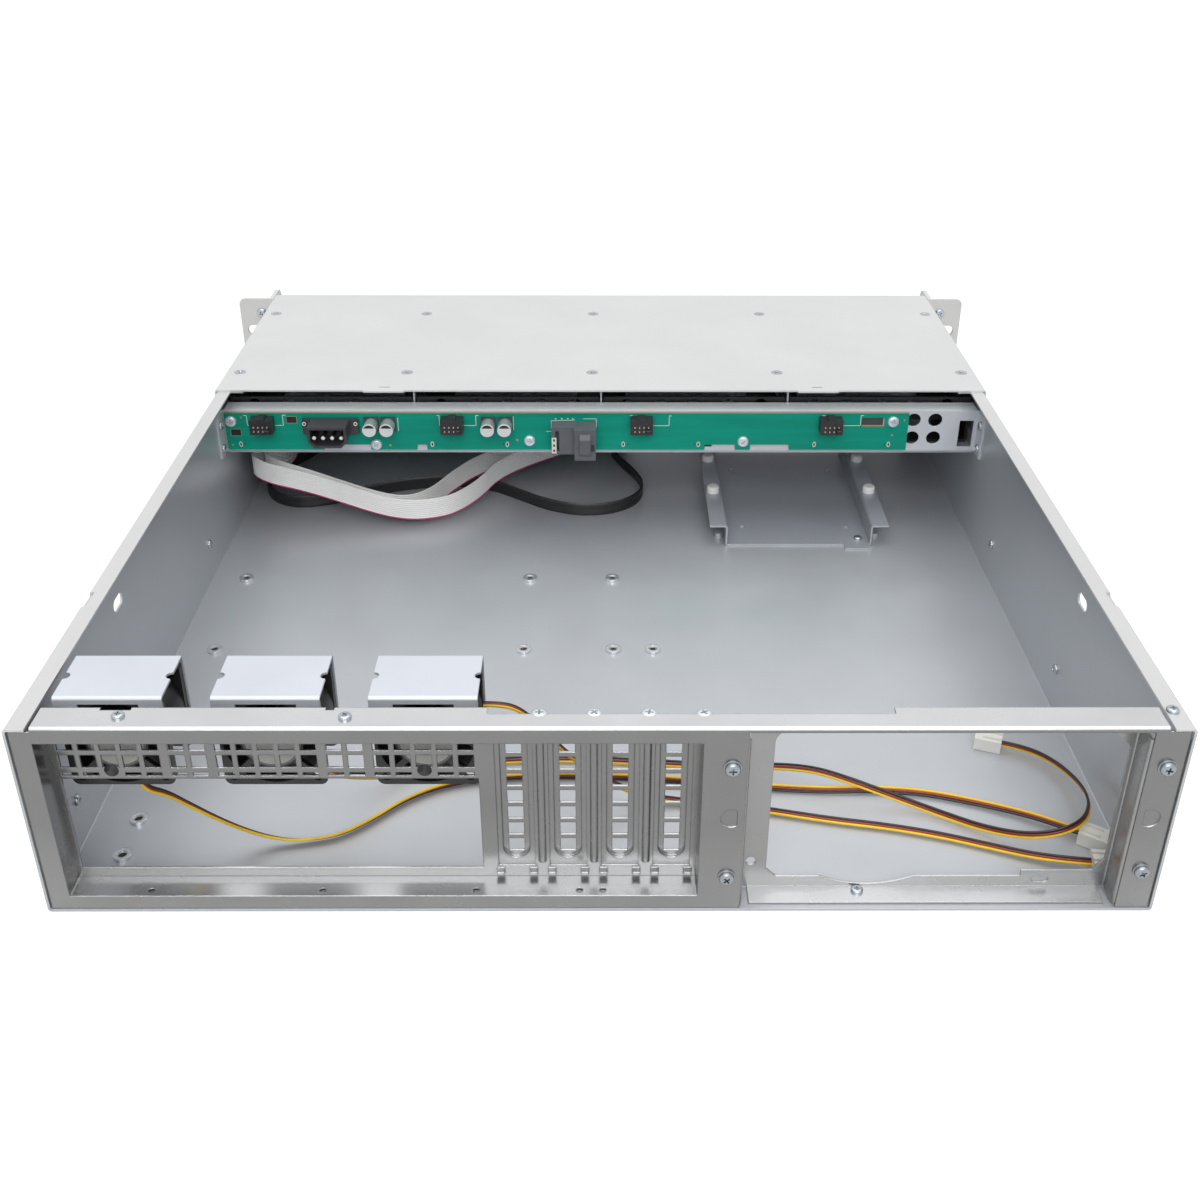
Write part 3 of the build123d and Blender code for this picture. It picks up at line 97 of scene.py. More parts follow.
RIBBON_CABLE_1_ROUTE = (
    (-0.2065, 0.209, 0.02), (-0.2065, 0.183, 0.02), (-0.205, 0.157, 0.02),
    (-0.203, 0.131, 0.02), (-0.204, 0.109, 0.0245), (-0.2105, 0.087, 0.0335),
    (-0.198, 0.0775, 0.031), (-0.179, 0.0765, 0.027), (-0.158, 0.0745, 0.021),
    (-0.131, 0.069, 0.014), (-0.1145, 0.067, 0.012), (-0.101, 0.0685, 0.012),
    (-0.0875, 0.074, 0.0124), (-0.0735, 0.091, 0.0144), (-0.0645, 0.111, 0.017),
    (-0.045, 0.1295, 0.0184), (-0.019, 0.1475, 0.0194), (-0.004, 0.166, 0.02),
    (0.002, 0.187, 0.02), (0.002, 0.209, 0.02),
)
RIBBON_CABLE_2_ROUTE = (
    (-0.1965, 0.209, 0.02), (-0.1965, 0.183, 0.02), (-0.1955, 0.157, 0.02),
    (-0.1935, 0.133, 0.02), (-0.196, 0.112, 0.024), (-0.2045, 0.095, 0.032),
    (-0.194, 0.084, 0.0305), (-0.177, 0.081, 0.0265), (-0.1575, 0.0785, 0.0205),
    (-0.131, 0.073, 0.014), (-0.1145, 0.0715, 0.0124), (-0.1015, 0.082, 0.0128),
    (-0.0905, 0.102, 0.0148), (-0.077, 0.119, 0.017), (-0.055, 0.1345, 0.0184),
    (-0.036, 0.1475, 0.0194), (-0.022, 0.165, 0.02), (-0.016, 0.187, 0.02),
    (-0.016, 0.209, 0.02),
)
DATA_CABLE_ROUTE = (
    (-0.18, 0.209, 0.0052), (-0.18, 0.189, 0.0052), (-0.187, 0.168, 0.0052),
    (-0.198, 0.149, 0.0052), (-0.207, 0.13, 0.0052), (-0.2085, 0.112, 0.0052),
    (-0.2, 0.0965, 0.0052), (-0.184, 0.09, 0.0052), (-0.166, 0.0945, 0.0052),
    (-0.149, 0.1035, 0.0052), (-0.13, 0.1125, 0.0052), (-0.108, 0.119, 0.0052),
    (-0.086, 0.1205, 0.0052), (-0.066, 0.1135, 0.0052), (-0.049, 0.1, 0.0052),
    (-0.033, 0.0875, 0.0052), (-0.014, 0.08, 0.0052), (0.006, 0.082, 0.0052),
    (0.021, 0.093, 0.0052), (0.027, 0.11, 0.0052), (0.022, 0.129, 0.0052),
    (0.0125, 0.148, 0.0052), (0.006, 0.167, 0.0052), (0.008, 0.188, 0.0052),
    (0.008, 0.209, 0.0052),
)
# Each route with its cable's length
FAN_CABLES = ((FAN_CABLE_1_ROUTE, 0.4211), (FAN_CABLE_2_ROUTE, 0.4470), (FAN_CABLE_3_ROUTE, 0.2810))
RIBBON_CABLES = ((RIBBON_CABLE_1_ROUTE, 0.4177), (RIBBON_CABLE_2_ROUTE, 0.3863))
DATA_CABLE_LENGTH = 0.4805
FAN_CABLE_DIAMETER = 0.0036
RIBBON_CONDUCTORS = 10


def at(x, y, z):
    """A place given in millimetres, with Y counted from the rear edge of the case."""
    return Vector((x / 1000, y / 1000 - REAR, z / 1000))


class Recipe:
    """Builds one procedural material, node by node, in the object's own coordinates."""

    def __init__(self, name):
        self.material = bpy.data.materials.new(name)
        self.material.use_nodes = True
        self.tree = self.material.node_tree
        self.tree.nodes.clear()
        self.shader = self.add("ShaderNodeBsdfPrincipled")
        output = self.add("ShaderNodeOutputMaterial")
        self.link(self.shader, "BSDF", output, "Surface")
        self.place = self.add("ShaderNodeTexCoord")

    def add(self, kind, inputs=None, **settings):
        node = self.tree.nodes.new(kind)
        for key, value in settings.items():
            setattr(node, key, value)
        for key, value in (inputs or {}).items():
            node.inputs[key].default_value = value
        return node

    def link(self, source, output, target, socket):
        self.tree.links.new(source.outputs[output], target.inputs[socket])

    def set(self, **values):
        for key, value in values.items():
            self.shader.inputs[key.replace("_", " ")].default_value = value

    def noise(self, scale, detail=2.0, roughness=0.5, stretch=(1, 1, 1)):
        mapping = self.add("ShaderNodeMapping", {"Scale": stretch})
        self.link(self.place, "Object", mapping, "Vector")
        grain = {"Scale": scale, "Detail": detail, "Roughness": roughness}
        noise = self.add("ShaderNodeTexNoise", grain)
        self.link(mapping, "Vector", noise, "Vector")
        return noise

    def ramp(self, source, output, stops):
        ramp = self.add("ShaderNodeValToRGB")
        elements = ramp.color_ramp.elements
        while len(elements) < len(stops):
            elements.new(0.5)
        for element, (position, colour) in zip(elements, stops):
            element.position = position
            element.color = colour
        self.link(source, output, ramp, "Fac")
        return ramp

    def range(self, source, output, low, high, start=0.0, end=1.0):
        """Stretches a value from one span to another."""
        span = {"From Min": start, "From Max": end, "To Min": low, "To Max": high}
        remap = self.add("ShaderNodeMapRange", span)
        self.link(source, output, remap, "Value")
        return remap

    def along(self, axis, start, end, source="Object"):
        """A value that rises from 0 to 1 between two places, or slopes, on one axis."""
        split = self.add("ShaderNodeSeparateXYZ")
        self.link(self.place, source, split, "Vector")
        return self.range(split, axis, 0.0, 1.0, start, end)

    def cloudy(self, clouds, colour, factor=1.0, depth=0.05):
        """A colour that drifts a little darker and lighter with a cloud."""
        dark, light = shade(colour, factor * (1 - depth)), shade(colour, factor * (1 + depth))
        return self.ramp(clouds, "Fac", [(0.3, dark), (0.7, light)]).outputs["Color"]

    def mix(self, factor, first, second):
        """One colour over another, by the result of a range."""
        mix = self.add("ShaderNodeMix", data_type="RGBA")
        self.link(factor, "Result", mix, 0)
        for socket, colour in ((6, first), (7, second)):
            if isinstance(colour, tuple):
                mix.inputs[socket].default_value = colour
            else:
                self.tree.links.new(colour, mix.inputs[socket])
        return mix.outputs[2]

    def paint(self, colour):
        self.tree.links.new(colour, self.shader.inputs["Base Color"])

    def sheen(self, clouds, low, high, start=0.3, end=0.7):
        """A roughness that drifts with a cloud."""
        self.link(self.range(clouds, "Fac", low, high, start, end), "Result", self.shader, "Roughness")

    def bump(self, source, output, distance, strength=1.0):
        bump = self.add("ShaderNodeBump", {"Distance": distance, "Strength": strength})
        self.link(source, output, bump, "Height")
        self.link(bump, "Normal", self.shader, "Normal")
        return bump


def shade(colour, factor):
    """A colour made lighter or darker, with its alpha."""
    return tuple(min(1.0, channel * factor) for channel in colour[:3]) + (1.0,)


def painted_sky_tint(colour):
    """A colour with a touch of blue: the painted reflection of an open sky on zinc."""
    return (colour[0] * 0.975, colour[1] * 0.99, min(1.0, colour[2] * 1.02))


def steel(name, colour, metal, rough, painted_glint=None, painted_top_light=None, low=None, mottle=0.05, edge=0.0004):
    """Sheet metal: a cloudy coating, fine rolling marks, worn edges and a satin to matte sheen.
    By a factor, it is lighter below a height, over a height, or where it looks up: painted bounce light
    towards the bottom, a painted glint on the flanges and painted top light."""
    recipe = Recipe(name)
    clouds = recipe.noise(20.0, 4.0, 0.55)
    coat = recipe.cloudy(clouds, colour, 1.0, mottle)
    # Painted bounce light: a lighter copy of the colour below a height, as if the floor lit the bottom
    if low:
        height, factor = low
        painted_bounce_coat = recipe.cloudy(clouds, colour, factor, mottle)
        coat = recipe.mix(recipe.along("Z", height, 0.004), coat, painted_bounce_coat)
    # Painted glint: a lighter grey over a height, on flanges that catch the light
    if painted_glint:
        height, factor = painted_glint
        grey = (sum(colour[:3]) / 3,) * 3
        upper = recipe.cloudy(clouds, grey, factor, 0.02)
        coat = recipe.mix(recipe.along("Z", height - 0.002, height), coat, upper)
    # Painted top light: faces that look up take a lighter, bluer copy of the colour
    if painted_top_light:
        facing = recipe.along("Z", 0.35, 0.8, "Normal")
        coat = recipe.mix(facing, coat, recipe.cloudy(clouds, painted_sky_tint(colour), painted_top_light, 0.025))
    recipe.paint(coat)
    recipe.set(Metallic=metal)
    recipe.sheen(clouds, rough - mottle, rough + mottle)
    soft = recipe.add("ShaderNodeBevel", {"Radius": edge}, samples=4)
    marks = recipe.noise(700.0, 2.0, 0.5, (1, 0.12, 1))
    bump = recipe.bump(marks, "Fac", 0.00002, 0.3)
    recipe.link(soft, "Normal", bump, "Normal")
    return recipe.material


def plastic(name, colour, rough, grain=900.0, depth=0.00001, spread=0.1):
    """Moulded plastic with a fine grain and a slightly uneven gloss."""
    recipe = Recipe(name)
    patches = recipe.noise(60.0, 3.0)
    recipe.paint(recipe.cloudy(patches, colour, 1.0, spread))
    recipe.sheen(patches, rough - 0.06, rough + 0.06)
    recipe.bump(recipe.noise(grain, 2.0), "Fac", depth, 0.5)
    return recipe.material


def can_metal(name, colour, base, line):
    """Bare aluminium cans that stand on dark plastic bases."""
    recipe = Recipe(name)
    clouds = recipe.noise(300.0, 3.0)
    foot = recipe.along("Y", line - 0.0004, line - 0.0002)
    recipe.paint(recipe.mix(foot, recipe.cloudy(clouds, colour), shade(base, 1.0)))
    metal = recipe.range(foot, "Result", 0.8, 0.0)
    recipe.link(metal, "Result", recipe.shader, "Metallic")
    recipe.set(Roughness=0.35)
    return recipe.material


def numbered(name, count):
    return [f"{name}_{number}" for number in range(1, count + 1)]


def dress(material, *names):
    """Gives one material to carried-over nodes."""
    for name in names:
        mesh = NODES[name].data
        mesh.materials.clear()
        mesh.materials.append(material)


def leave_edit():
    bpy.ops.object.mode_set(mode="OBJECT")


def fix_place():
    bpy.ops.object.transform_apply(location=True, rotation=True, scale=True)


def deselect():
    if bpy.context.mode != "OBJECT":
        leave_edit()
    bpy.ops.object.select_all(action="DESELECT")


def only(*pieces):
    deselect()
    for piece in pieces:
        piece.select_set(True)
    bpy.context.view_layer.objects.active = pieces[0]


def skin(piece, materials):
    """Gives a bare piece its materials, in the order that its faces count them."""
    if not piece.data.materials:
        for material in materials:
            piece.data.materials.append(material)


def settle(piece, materials, smooth=35.0):
    """Finishes a piece on the case: applied transform, shading, materials and body."""
    only(piece)
    fix_place()
    bpy.ops.object.shade_smooth_by_angle(angle=math.radians(smooth))
    skin(piece, materials)
    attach(piece, "case")


def disc(name, radius, height, sides=24):
    """A low round blank that stands on the origin."""
    deselect()
    middle = (0, 0, height / 2)
    bpy.ops.mesh.primitive_cylinder_add(vertices=sides, radius=radius, depth=height, location=middle)
    return blank(name)


def block(name, x, y, z):
    """A square blank of a size that stands on the origin."""
    deselect()
    bpy.ops.mesh.primitive_cube_add(size=1.0, location=(0, 0, z / 2), scale=(x, y, z))
    return blank(name)


def blank(name):
    piece = bpy.context.object
    piece.name = name
    fix_place()
    return piece


def pick(piece, kind, test):
    """Selects the faces or edges of a piece whose middle and direction pass a test, in edit mode."""
    only(piece)
    mesh = piece.data
    for group in (mesh.vertices, mesh.edges, mesh.polygons):
        group.foreach_set("select", [False] * len(group))
    if kind == "FACE":
        for face in mesh.polygons:
            face.select = test(face.center, face.normal)
    else:
        for edge in mesh.edges:
            first, second = (mesh.vertices[index].co for index in edge.vertices)
            edge.select = test((first + second) / 2, (second - first).normalized())
    bpy.ops.object.mode_set(mode="EDIT")
    bpy.ops.mesh.select_mode(type=kind)


def pick_top(piece):
    """Selects the highest face that looks up."""
    top = max(vertex.co.z for vertex in piece.data.vertices)
    pick(piece, "FACE", lambda middle, normal: normal.z > 0.9 and middle.z > top - 1e-6)


def round_top(piece, width, segments=3):
    """Bevels the upper rim of a blank."""
    top = max(vertex.co.z for vertex in piece.data.vertices)
    pick(piece, "EDGE", lambda middle, way: middle.z > top - 1e-6 and abs(way.z) < 0.1)
    bpy.ops.mesh.bevel(offset=width, segments=segments, profile=0.5, affect="EDGES")
    leave_edit()


def sink_top(piece, rim, depth, slot=0):
    """Insets the top face and pushes it in, with another material on its floor."""
    pick_top(piece)
    bpy.ops.mesh.inset(thickness=rim, depth=0.0)
    bpy.ops.mesh.extrude_region_move(TRANSFORM_OT_translate={"value": (0, 0, -depth)})
    leave_edit()
    if slot:
        for face in piece.data.polygons:
            if face.select:
                face.material_index = slot


def combine(piece, other, operation):
    """Cuts one solid out of another, or adds it to it."""
    only(piece)
    bpy.ops.object.modifier_add(type="BOOLEAN")
    modifier = piece.modifiers[-1]
    modifier.operation = operation
    modifier.object = other
    bpy.ops.object.modifier_apply(modifier=modifier.name)
    bpy.data.objects.remove(other)


def cross(radius, top, depth):
    """A tapered cross, as a driver's tip leaves it in a screw head."""
    arms = []
    for x, y in ((radius * 1.1, radius * 0.26), (radius * 0.26, radius * 1.1)):
        arm = block("recess", x, y, 2 * depth)
        pick(arm, "FACE", lambda middle, normal: normal.z < -0.9)
        bpy.ops.transform.resize(value=(0.72, 0.72, 1.0))
        leave_edit()
        arms.append(arm)
    tip, arm = arms
    combine(tip, arm, "UNION")
    tip.location.z = top - depth
    only(tip)
    fix_place()
    return tip


def pan_screw(name, radius, height, flange=0.0):
    """A domed screw head with a cross recess, with or without a washer under it."""
    head = disc(name, radius, height, 28)
    round_top(head, height * 0.62, 4)
    combine(head, cross(radius, height, height * 0.55), "DIFFERENCE")
    if flange:
        washer = disc("washer", radius * flange, height * 0.22, 28)
        round_top(washer, height * 0.08, 2)
        only(head, washer)
        bpy.ops.object.join()
    return head


def flat_screw(name, radius, height):
    """A countersunk screw head with a cross recess, flush with the sheet around it."""
    head = disc(name, radius, height, 28)
    pick(head, "FACE", lambda middle, normal: normal.z < -0.9)
    bpy.ops.transform.resize(value=(0.45, 0.45, 1.0))
    leave_edit()
    round_top(head, height * 0.08, 1)
    combine(head, cross(radius, height, height * 0.6), "DIFFERENCE")
    return head


def aimed(facing):
    """The turn that points a blank's top one way; a blank that faces up stays as it is."""
    if facing == UP:
        return Matrix.Identity(4)
    return Vector(facing).to_track_quat("Z", "Y").to_matrix().to_4x4()


def set_copies(template, name, places, facing, materials, slot, spin=0.7):
    """Copies a finished blank to its places, facing one way, and joins the copies into one piece."""
    made = []
    skin(template, materials)
    for number, place in enumerate(places):
        only(template)
        bpy.ops.object.duplicate(linked=False)
        copy = bpy.context.object
        turn = aimed(facing) @ Matrix.Rotation(spin * number, 4, "Z")
        copy.matrix_world = Matrix.Translation(place) @ turn
        made.append(copy)
    only(*made)
    if len(made) > 1:
        bpy.ops.object.join()
    piece = bpy.context.object
    piece.name = name
    settle(piece, materials)


def stamp(template, *details):
    """Sets the copies of a blank that has no other use."""
    set_copies(template, *details)
    bpy.data.objects.remove(template)


def new_curve(name, kind, points, dimensions="3D"):
    """A curve with one spline of a kind and its control points."""
    data = bpy.data.curves.new(name, "CURVE")
    data.dimensions = dimensions
    spline = data.splines.new(kind)
    spline.points.add(len(points) - 1)
    for target, point in zip(spline.points, points):
        target.co = (*point, 1.0)
    curve = bpy.data.objects.new(name, data)
    bpy.context.scene.collection.objects.link(curve)
    return curve


def route_curve(name, points):
    """A smooth open line with the route's points as its control points."""
    curve = new_curve(name, "NURBS", points)
    curve.data.resolution_u = 8
    curve.data.twist_mode = "Z_UP"
    spline = curve.data.splines[0]
    spline.order_u = 3
    spline.use_endpoint_u = True
    return curve


def line_points(curve):
    """Points read along a bare curve, from its start to its end."""
    bpy.context.view_layer.update()
    drawn = curve.evaluated_get(bpy.context.evaluated_depsgraph_get())
    mesh = bpy.data.meshes.new_from_object(drawn)
    points = [vertex.co.copy() for vertex in mesh.vertices]
    bpy.data.meshes.remove(mesh)
    return points


def thin_tube(name, points, diameter, coat):
    """A round insulated wire through a row of points."""
    wire = new_curve(name, "POLY", points)
    wire.data.bevel_depth = diameter / 2
    wire.data.bevel_resolution = 3
    wire.data.use_fill_caps = True
    wire.data.materials.append(coat)
    return wire


def merged(name, pieces):
    """Turns curves into meshes and joins them into one smooth piece."""
    only(*pieces)
    bpy.ops.object.convert(target="MESH")
    bpy.ops.object.join()
    piece = bpy.context.object
    piece.name = name
    only(piece)
    bpy.ops.object.shade_smooth_by_angle(angle=math.radians(60))
    return piece


def lay(piece, node, slot, **facts):
    """Lays a cable in the case in place of its node, which it hides; what is known of the cable is not
    used.
    """
    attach(piece, "case")
    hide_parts(node)


def colour_prop(name, description, default):
    return bpy.props.FloatVectorProperty(
        name=name, description=description, default=default, size=3, min=0.0, max=1.0, subtype="COLOR"
    )


def number_prop(name, description, default, **limits):
    return bpy.props.FloatProperty(name=name, description=description, default=default, **limits)


def length_prop(name, description, default):
    return number_prop(name, description, default, min=0.0, unit="LENGTH", precision=5)


def angle_prop(name, description, default):
    return number_prop(name, description, default, unit="ROTATION")


class ServerCaseFinish(bpy.types.PropertyGroup):
    """Colours of the case's sheet metal, plastics and boards."""

    steel: colour_prop("Steel", "Satin zinc-coated sheet", (0.54, 0.56, 0.59))
    # The zinc darkened as painted shade for faces turned from the light; the painted top light lifts faces
    # that look up
    frame: colour_prop("Frame", "Rear frame and card slots", (0.205, 0.205, 0.203))
    cover: colour_prop("Cover", "Matte front cover", (0.72, 0.73, 0.725))
    ear: colour_prop("Ear", "Rack ears", (0.70, 0.70, 0.69))
    handle: colour_prop("Handle", "Satin aluminium of the handles", (0.62, 0.62, 0.62))
    screw: colour_prop("Screw", "Bright zinc of the screws", (0.44, 0.47, 0.50))
    fan: colour_prop("Fan", "Fan frames and rotors", (0.012, 0.012, 0.013))
    front: colour_prop("Front", "Bezel, trays and levers", (0.014, 0.014, 0.015))
    board: colour_prop("Board", "Solder mask of the boards", (0.002, 0.33, 0.23))
    board_edge: colour_prop("Board edge", "Cut edges of the boards", (0.33, 0.27, 0.15))
    ink: colour_prop("Ink", "Printed marks on the board", (0.80, 0.82, 0.78))
    gold: colour_prop("Gold", "Plated test points", (0.62, 0.36, 0.10))
    connector: colour_prop("Connector", "Headers and sockets", (0.022, 0.022, 0.024))
    socket: colour_prop("Socket", "Power socket and capacitor bases", (0.052, 0.048, 0.056))
    data_socket: colour_prop("Data socket", "Data socket and its plug", (0.12, 0.125, 0.14))
    can: colour_prop("Can", "Bare capacitor cans", (0.74, 0.75, 0.76))
    plug: colour_prop("Plug", "Wire plugs", (0.80, 0.79, 0.74))
    post: colour_prop("Post", "Soft posts of the drive bracket", (0.92, 0.91, 0.88))
    standoff: colour_prop("Nut", "Nuts in the floor", (0.72, 0.73, 0.75))
    label: colour_prop("Label", "Bare label on each fan", (0.60, 0.60, 0.58))


class ServerCaseFixings(bpy.types.PropertyGroup):
    """Sizes of the screws."""

    large: length_prop("Large head", "Radius of the screws in the rear posts", 0.0031)
    medium: length_prop("Medium head", "Radius of board, fan and handle screws", 0.0032)
    small: length_prop("Small head", "Radius of the screws in walls and flanges", 0.0025)
    flat: length_prop("Flat head", "Radius of the countersunk cover screws", 0.00345)
    rise: length_prop("Head height", "Height of a medium head", 0.0020)
    flat_rise: length_prop("Flat head height", "Depth of a countersunk head", 0.00095)


class ServerCaseCables(bpy.types.PropertyGroup):
    """Sizes and colours of the cables inside the case."""

    wire: length_prop("Wire", "Diameter of one insulated wire", 0.00115)
    twist: bpy.props.FloatVectorProperty(
        name="Twist", description="Turns of each fan's flat set of wires along its length",
        default=(-0.5, 0.12, 0.08)
    )
    yellow: colour_prop("Yellow", "Speed wire", (0.95, 0.60, 0.008))
    red: colour_prop("Red", "Supply wire", (0.26, 0.028, 0.014))
    black: colour_prop("Black", "Ground wire", (0.014, 0.012, 0.011))
    ribbon_width: length_prop("Ribbon width", "Width of a ribbon cable", 0.0127)
    ribbon_thickness: length_prop("Ribbon thickness", "Thickness over one conductor", 0.0009)
    ribbon: colour_prop("Ribbon", "Ribbon insulation", (0.96, 0.955, 0.93))
    ribbon_edge: colour_prop("Ribbon edge", "Marked first conductor", (0.52, 0.03, 0.15))
    ribbon_edge_width: length_prop("Ribbon edge width", "Diameter of the marked conductor", 0.0012)
    data_width: length_prop("Data width", "Width of the flat data cable", 0.0080)
    data_thickness: length_prop("Data thickness", "Thickness of the flat data cable", 0.0012)
    data: colour_prop("Data", "Data cable sleeve", (0.014, 0.014, 0.015))


class ServerCaseStage(bpy.types.PropertyGroup):
    """Floor, lights and camera."""

    floor: colour_prop("Floor", "Studio floor as it is seen", (0.96, 0.96, 0.96))
    bounce: colour_prop("Bounce", "Studio floor as it lights the case", (0.40, 0.385, 0.36))
    floor_size: length_prop("Floor size", "Edge of the studio floor", 40.0)
    key_strength: number_prop("Key light", "Strength of the soft light overhead", 1.66, min=0.0)
    key_angle: angle_prop("Key softness", "Width of the soft light overhead", 1.30)
    key_tilt: angle_prop("Key tilt", "Lean of the light towards the case's front", 0.04)
    fill: number_prop("Fill", "Light from all round", 0.26, min=0.0)
    front_power: number_prop(
        "Camera-side light", "Power of the wide lamp on the camera's side", 29.0, min=0.0, unit="POWER"
    )
    glow: number_prop("Floor glow", "How far the seen floor is lifted to white", 0.25, min=0.0, max=1.0)
    camera_place: bpy.props.FloatVectorProperty(
        name="Camera place", description="Where the camera stands", default=(0.00002, -0.6576, 0.3856),
        subtype="TRANSLATION", unit="LENGTH", precision=5
    )
    camera_pitch: angle_prop("Pitch", "Downward tilt of the camera", 0.512)
    camera_yaw: angle_prop("Yaw", "Turn of the camera to the left", -0.006)
    camera_roll: angle_prop("Roll", "Lean of the camera", 0.003)
    camera_lens: number_prop("Lens", "Focal length for a 36 mm square picture", 41.21, unit="CAMERA")
    camera_shift: bpy.props.FloatVectorProperty(
        name="Shift", description="Lens shift in picture widths", default=(-0.0069, -0.0339), size=2
    )


class SERVERCASE_OT_finishes(bpy.types.Operator):
    """Give every carried-over node its finish"""

    bl_idname = "servercase.finishes"
    bl_label = "Finishes"

    def execute(self, context):
        look = context.scene.servercase_finish
        self.metals(look)
        self.plastics(look)
        dress(self.solder_mask(look), "backplane_board", "front_board")
        return {"FINISHED"}

    def metals(self, look):
        """Sheets, bars, nuts and cans."""
        # Painted glint on the chassis flanges: a lighter grey over the fold height
        shell = steel("zinc sheet", look.steel, 0.38, 0.36, painted_glint=(FLANGE, 1.2), mottle=0.025)
        dress(shell, "chassis_tray")
        # Painted top light on the drive cage and dividers
        inner = steel("inner sheet", look.steel, 0.38, 0.38, painted_top_light=1.3)
        dress(inner, "drive_cage", *numbered("bay_divider", 3))
        # Painted shade: the drive bracket takes a darker copy of the same zinc, with painted top light
        bracket = steel("bracket sheet", shade(look.steel, 0.8), 0.38, 0.38, painted_top_light=1.12)
        dress(bracket, "drive_bracket")
        # Painted light: the backplane bracket under the cover's edge takes a lighter, nearly non-metallic
        # copy of the zinc, with painted top light
        backplane = steel("backplane sheet", shade(look.steel, 1.22), 0.1, 0.38, painted_top_light=1.45)
        dress(backplane, "backplane_bracket")
        # Painted light and shade on the power bay: a lighter copy of the darkened frame colour, with
        # strong painted top light
        bay = steel("power bay sheet", shade(look.frame, 1.5), 0.75, 0.28, painted_top_light=2.1, mottle=0.06)
        dress(bay, "psu_bracket")
        # Painted top light on the fan hoods
        dress(steel("hood sheet", look.steel, 0.25, 0.36, painted_top_light=1.3), *numbered("fan_hood", 3))
        # Painted light and shade on the rear frame, rear panel and slot covers: the darkened frame colour,
        # strong painted top light and painted bounce light towards the bottom
        rear = steel(
            "rear sheet", look.frame, 0.85, 0.26, painted_top_light=3.1, low=(0.045, 1.4), mottle=0.06, edge=0.0008
        )
        dress(rear, "rear_frame", "rear_io_panel", *numbered("slot_cover", 4))
        dress(steel("matte cover", look.cover, 0.1, 0.5, mottle=0.025), "front_top_cover")
        dress(steel("ear sheet", look.ear, 0.3, 0.45), "rack_ear_left", "rack_ear_right")
        dress(steel("satin bar", look.handle, 0.4, 0.38), "handle_left", "handle_right")
        dress(steel("floor nut", look.standoff, 0.75, 0.22), "floor_standoffs")
        base = 0.0016
        dress(can_metal("can", look.can, look.socket, BOARD_FACE - REAR - base), "capacitors")

    def plastics(self, look):
        """Fans, front, connectors, posts and plugs."""
        fan = plastic("fan plastic", look.fan, 0.45, 1800.0, 0.00002)
        dress(fan, *numbered("fan_frame", 3), *numbered("fan_rotor", 3))
        front = plastic("front plastic", look.front, 0.5, 2200.0, 0.00003)
        dress(front, "front_bezel", "power_button", *numbered("drive_tray", 4), *numbered("tray_lever", 4))
        connector = plastic("connector plastic", look.connector, 0.4, 2000.0, 0.00002)
        dress(connector, "pin_headers", "drive_sockets", "grille_plugs")
        dress(plastic("socket plastic", look.socket, 0.4, 2000.0, 0.00002), "power_socket")
        data = plastic("data socket plastic", look.data_socket, 0.42, 2000.0, 0.00002)
        dress(data, "sas_socket", "sas_plug")
        dress(plastic("post plastic", look.post, 0.4, 1500.0, 0.00002), "bracket_posts")
        plugs = plastic("plug plastic", look.plug, 0.4, 1500.0, 0.00002, 0.04)
        dress(plugs, *numbered("fan_plug", 3))

    def solder_mask(self, look):
        """Green lacquer with faint tracks under it, and bare cut edges."""
        recipe = Recipe("solder mask")
        tracks = recipe.noise(90.0, 3.0, 0.6, (0.12, 1, 1.6))
        green = recipe.cloudy(tracks, look.board, 0.95, 0.12)
        split = recipe.add("ShaderNodeSeparateXYZ")
        recipe.link(recipe.place, "Normal", split, "Vector")
        facing = recipe.add("ShaderNodeMath", operation="ABSOLUTE")
        recipe.link(split, "Y", facing, 0)
        flat = recipe.range(facing, "Value", 0.0, 1.0, 0.4, 0.6)
        recipe.paint(recipe.mix(flat, shade(look.board_edge, 1.0), green))
        recipe.sheen(tracks, 0.5, 0.62, 0.0, 1.0)
        recipe.set(Specular_IOR_Level=0.2)
        recipe.bump(tracks, "Fac", 0.00002, 0.3)
        return recipe.material


